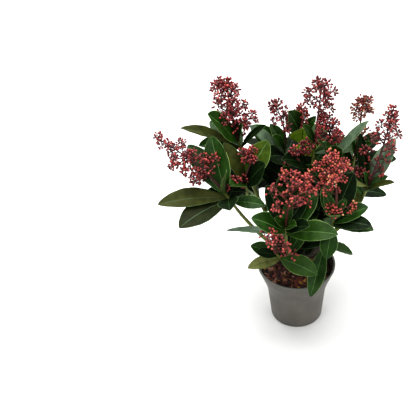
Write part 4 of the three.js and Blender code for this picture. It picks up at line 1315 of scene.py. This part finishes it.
# %% Flower heads
RACHIS_ROOT_RADIUS = 0.0021
RACHIS_TIP_RADIUS = 0.0008
RACHIS_RINGS = 26
BRANCH_RINGS = 6
RAY = 0.0056
LITTLE_STALK = 0.0028
THICK, THIN = 0.0005, 0.00042
BRANCH_RADII = (0.00085, 0.0006)
BRANCH_SAG = 0.1
RAY_LEAN, RAY_SPREAD, RAY_STRAY = 10, 76, 8
FORK = 0.6
FORK_LEANS = (44, 64)
SIDE_LEANS = (48, 62)
SIDE_REACH = 0.0052
SIDE_RAYS = 3
SHORTEST_BRANCH = 0.005


class Head:
    """Grows one flower head into a heap of stalks and a heap of buds."""

    def __init__(self, shoot, stalks, buds):
        self.shoot, self.stalks, self.buds = shoot, stalks, buds
        self.rng = np.random.default_rng(shoot.phase + 7)
        (self.radius, self.length, self.clear, self.rays, self.spacing, self.short, self.taper,
         bark, self.tints) = HEAD_KINDS[shoot.kind]
        self.bark = STALKS[bark]
        self.centres = np.empty((0, 3))

    def stalk(self, start, end, root, tip):
        self.stalks.add(tube_rings(np.linspace(start, end, 3), np.linspace(root, tip, 3), 5), self.bark)

    def bud(self, start, direction, reach):
        """A little stalk with one bud on its end, if no leaf and no other bud is in the way."""
        foot = start + direction * reach
        size = self.rng.uniform(0.85, 1.12)
        centre = foot + direction * self.length / 2
        if np.any(np.linalg.norm(self.centres - centre, axis=1) < self.clear):
            return
        if leaf_tree.find_nearest(Vector(centre), self.radius)[0] is not None:
            return
        self.centres = np.vstack([self.centres, centre])
        tint = self.rng.choice(list(self.tints), p=list(self.tints.values()))
        self.buds.add(bud_rings(foot, direction, self.radius * size, self.length * size), BUD_TINTS[tint])
        self.stalk(start, foot + direction * 0.0002, THIN, THICK)

    def ray(self, hub, direction, reach):
        """A ray of a cluster: it forks into three little stalks."""
        fork = hub + direction * reach * FORK
        before = len(self.centres)
        self.bud(fork, direction, reach * (1 - FORK) + LITTLE_STALK * 0.3)
        turn = self.rng.uniform(0, 360)
        for side in (0, 180):
            way = leaning(direction, turn + side, self.rng.uniform(*FORK_LEANS))
            self.bud(fork, way, LITTLE_STALK * self.rng.uniform(0.85, 1.25))
        if len(self.centres) > before:
            self.stalk(hub, fork, THICK, THIN)

    def cluster(self, hub, direction, rays, reach):
        """Rays that spread from one point, the outer ones almost square to the branch."""
        turn = self.rng.uniform(0, 360)
        for k in range(rays):
            stray = self.rng.uniform(-RAY_STRAY, RAY_STRAY)
            lean = RAY_LEAN + RAY_SPREAD * math.sqrt(k / max(1, rays - 1)) + stray
            way = leaning(direction, turn + k * GOLDEN_ANGLE, lean)
            self.ray(hub, way, reach * self.rng.uniform(0.8, 1.15))

    def branch(self, start, tip, direction, height):
        """A bowed side branch with a cluster on its end and smaller ones on its way there."""
        length = max(SHORTEST_BRANCH, np.linalg.norm(tip - start) - self.short - self.taper * height**2)
        hub = start + direction * length
        curve = [start, start + direction * length * 0.5 - UP * length * BRANCH_SAG, hub]
        line, way = bezier(curve, np.linspace(0, 1, BRANCH_RINGS))
        self.stalks.add(tube_rings(line, np.linspace(*BRANCH_RADII, BRANCH_RINGS), 6), self.bark)
        self.cluster(hub, way[-1], self.rays + int(self.rng.integers(0, 2)), RAY)
        turn = self.rng.uniform(0, 360)
        for k in range(int(length / self.spacing)):
            place, _ = point_on(curve, 1 - (k + 0.85) * self.spacing / length)
            aside = leaning(direction, turn + k * GOLDEN_ANGLE, self.rng.uniform(*SIDE_LEANS))
            knee = place + aside * SIDE_REACH * self.rng.uniform(0.8, 1.2)
            self.stalk(place, knee, BRANCH_RADII[1], THICK)
            self.cluster(knee, aside, SIDE_RAYS, RAY * 0.8)

    def grow(self):
        line, _ = bezier(self.shoot.rachis, np.linspace(0, self.shoot.stalk, RACHIS_RINGS))
        radii = np.linspace(RACHIS_ROOT_RADIUS, RACHIS_TIP_RADIUS, RACHIS_RINGS)
        self.stalks.add(tube_rings(line, radii, 10), self.bark)
        self.cluster(line[-1], unit(line[-1] - line[-2]), self.rays, RAY * 0.6)
        for twig in head_twigs(self.shoot):
            self.branch(*twig)
        for share, bearing, rise, length in self.shoot.sprigs:
            start, _ = point_on(self.shoot.rachis, share)
            self.branch(start, start + pointing(bearing, rise) * length, pointing(bearing, rise), 0)
        print(self.shoot.name, "buds:", len(self.centres))


def make_heads(group, shoots):
    stalks, buds = Heap(), Heap()
    for shoot in shoots:
        Head(shoot, stalks, buds).grow()
    stalks.piece("flower_stalks_" + group, "red_buds", ["head_" + shoot.name for shoot in shoots])
    buds.piece("buds_" + group, "red_buds")


for group, shoots in GROUPS.items():
    make_heads(group, [shoot for shoot in shoots if shoot.head])

# %% [markdown]
# ## The size
# The fine plant must not outgrow the imported one.
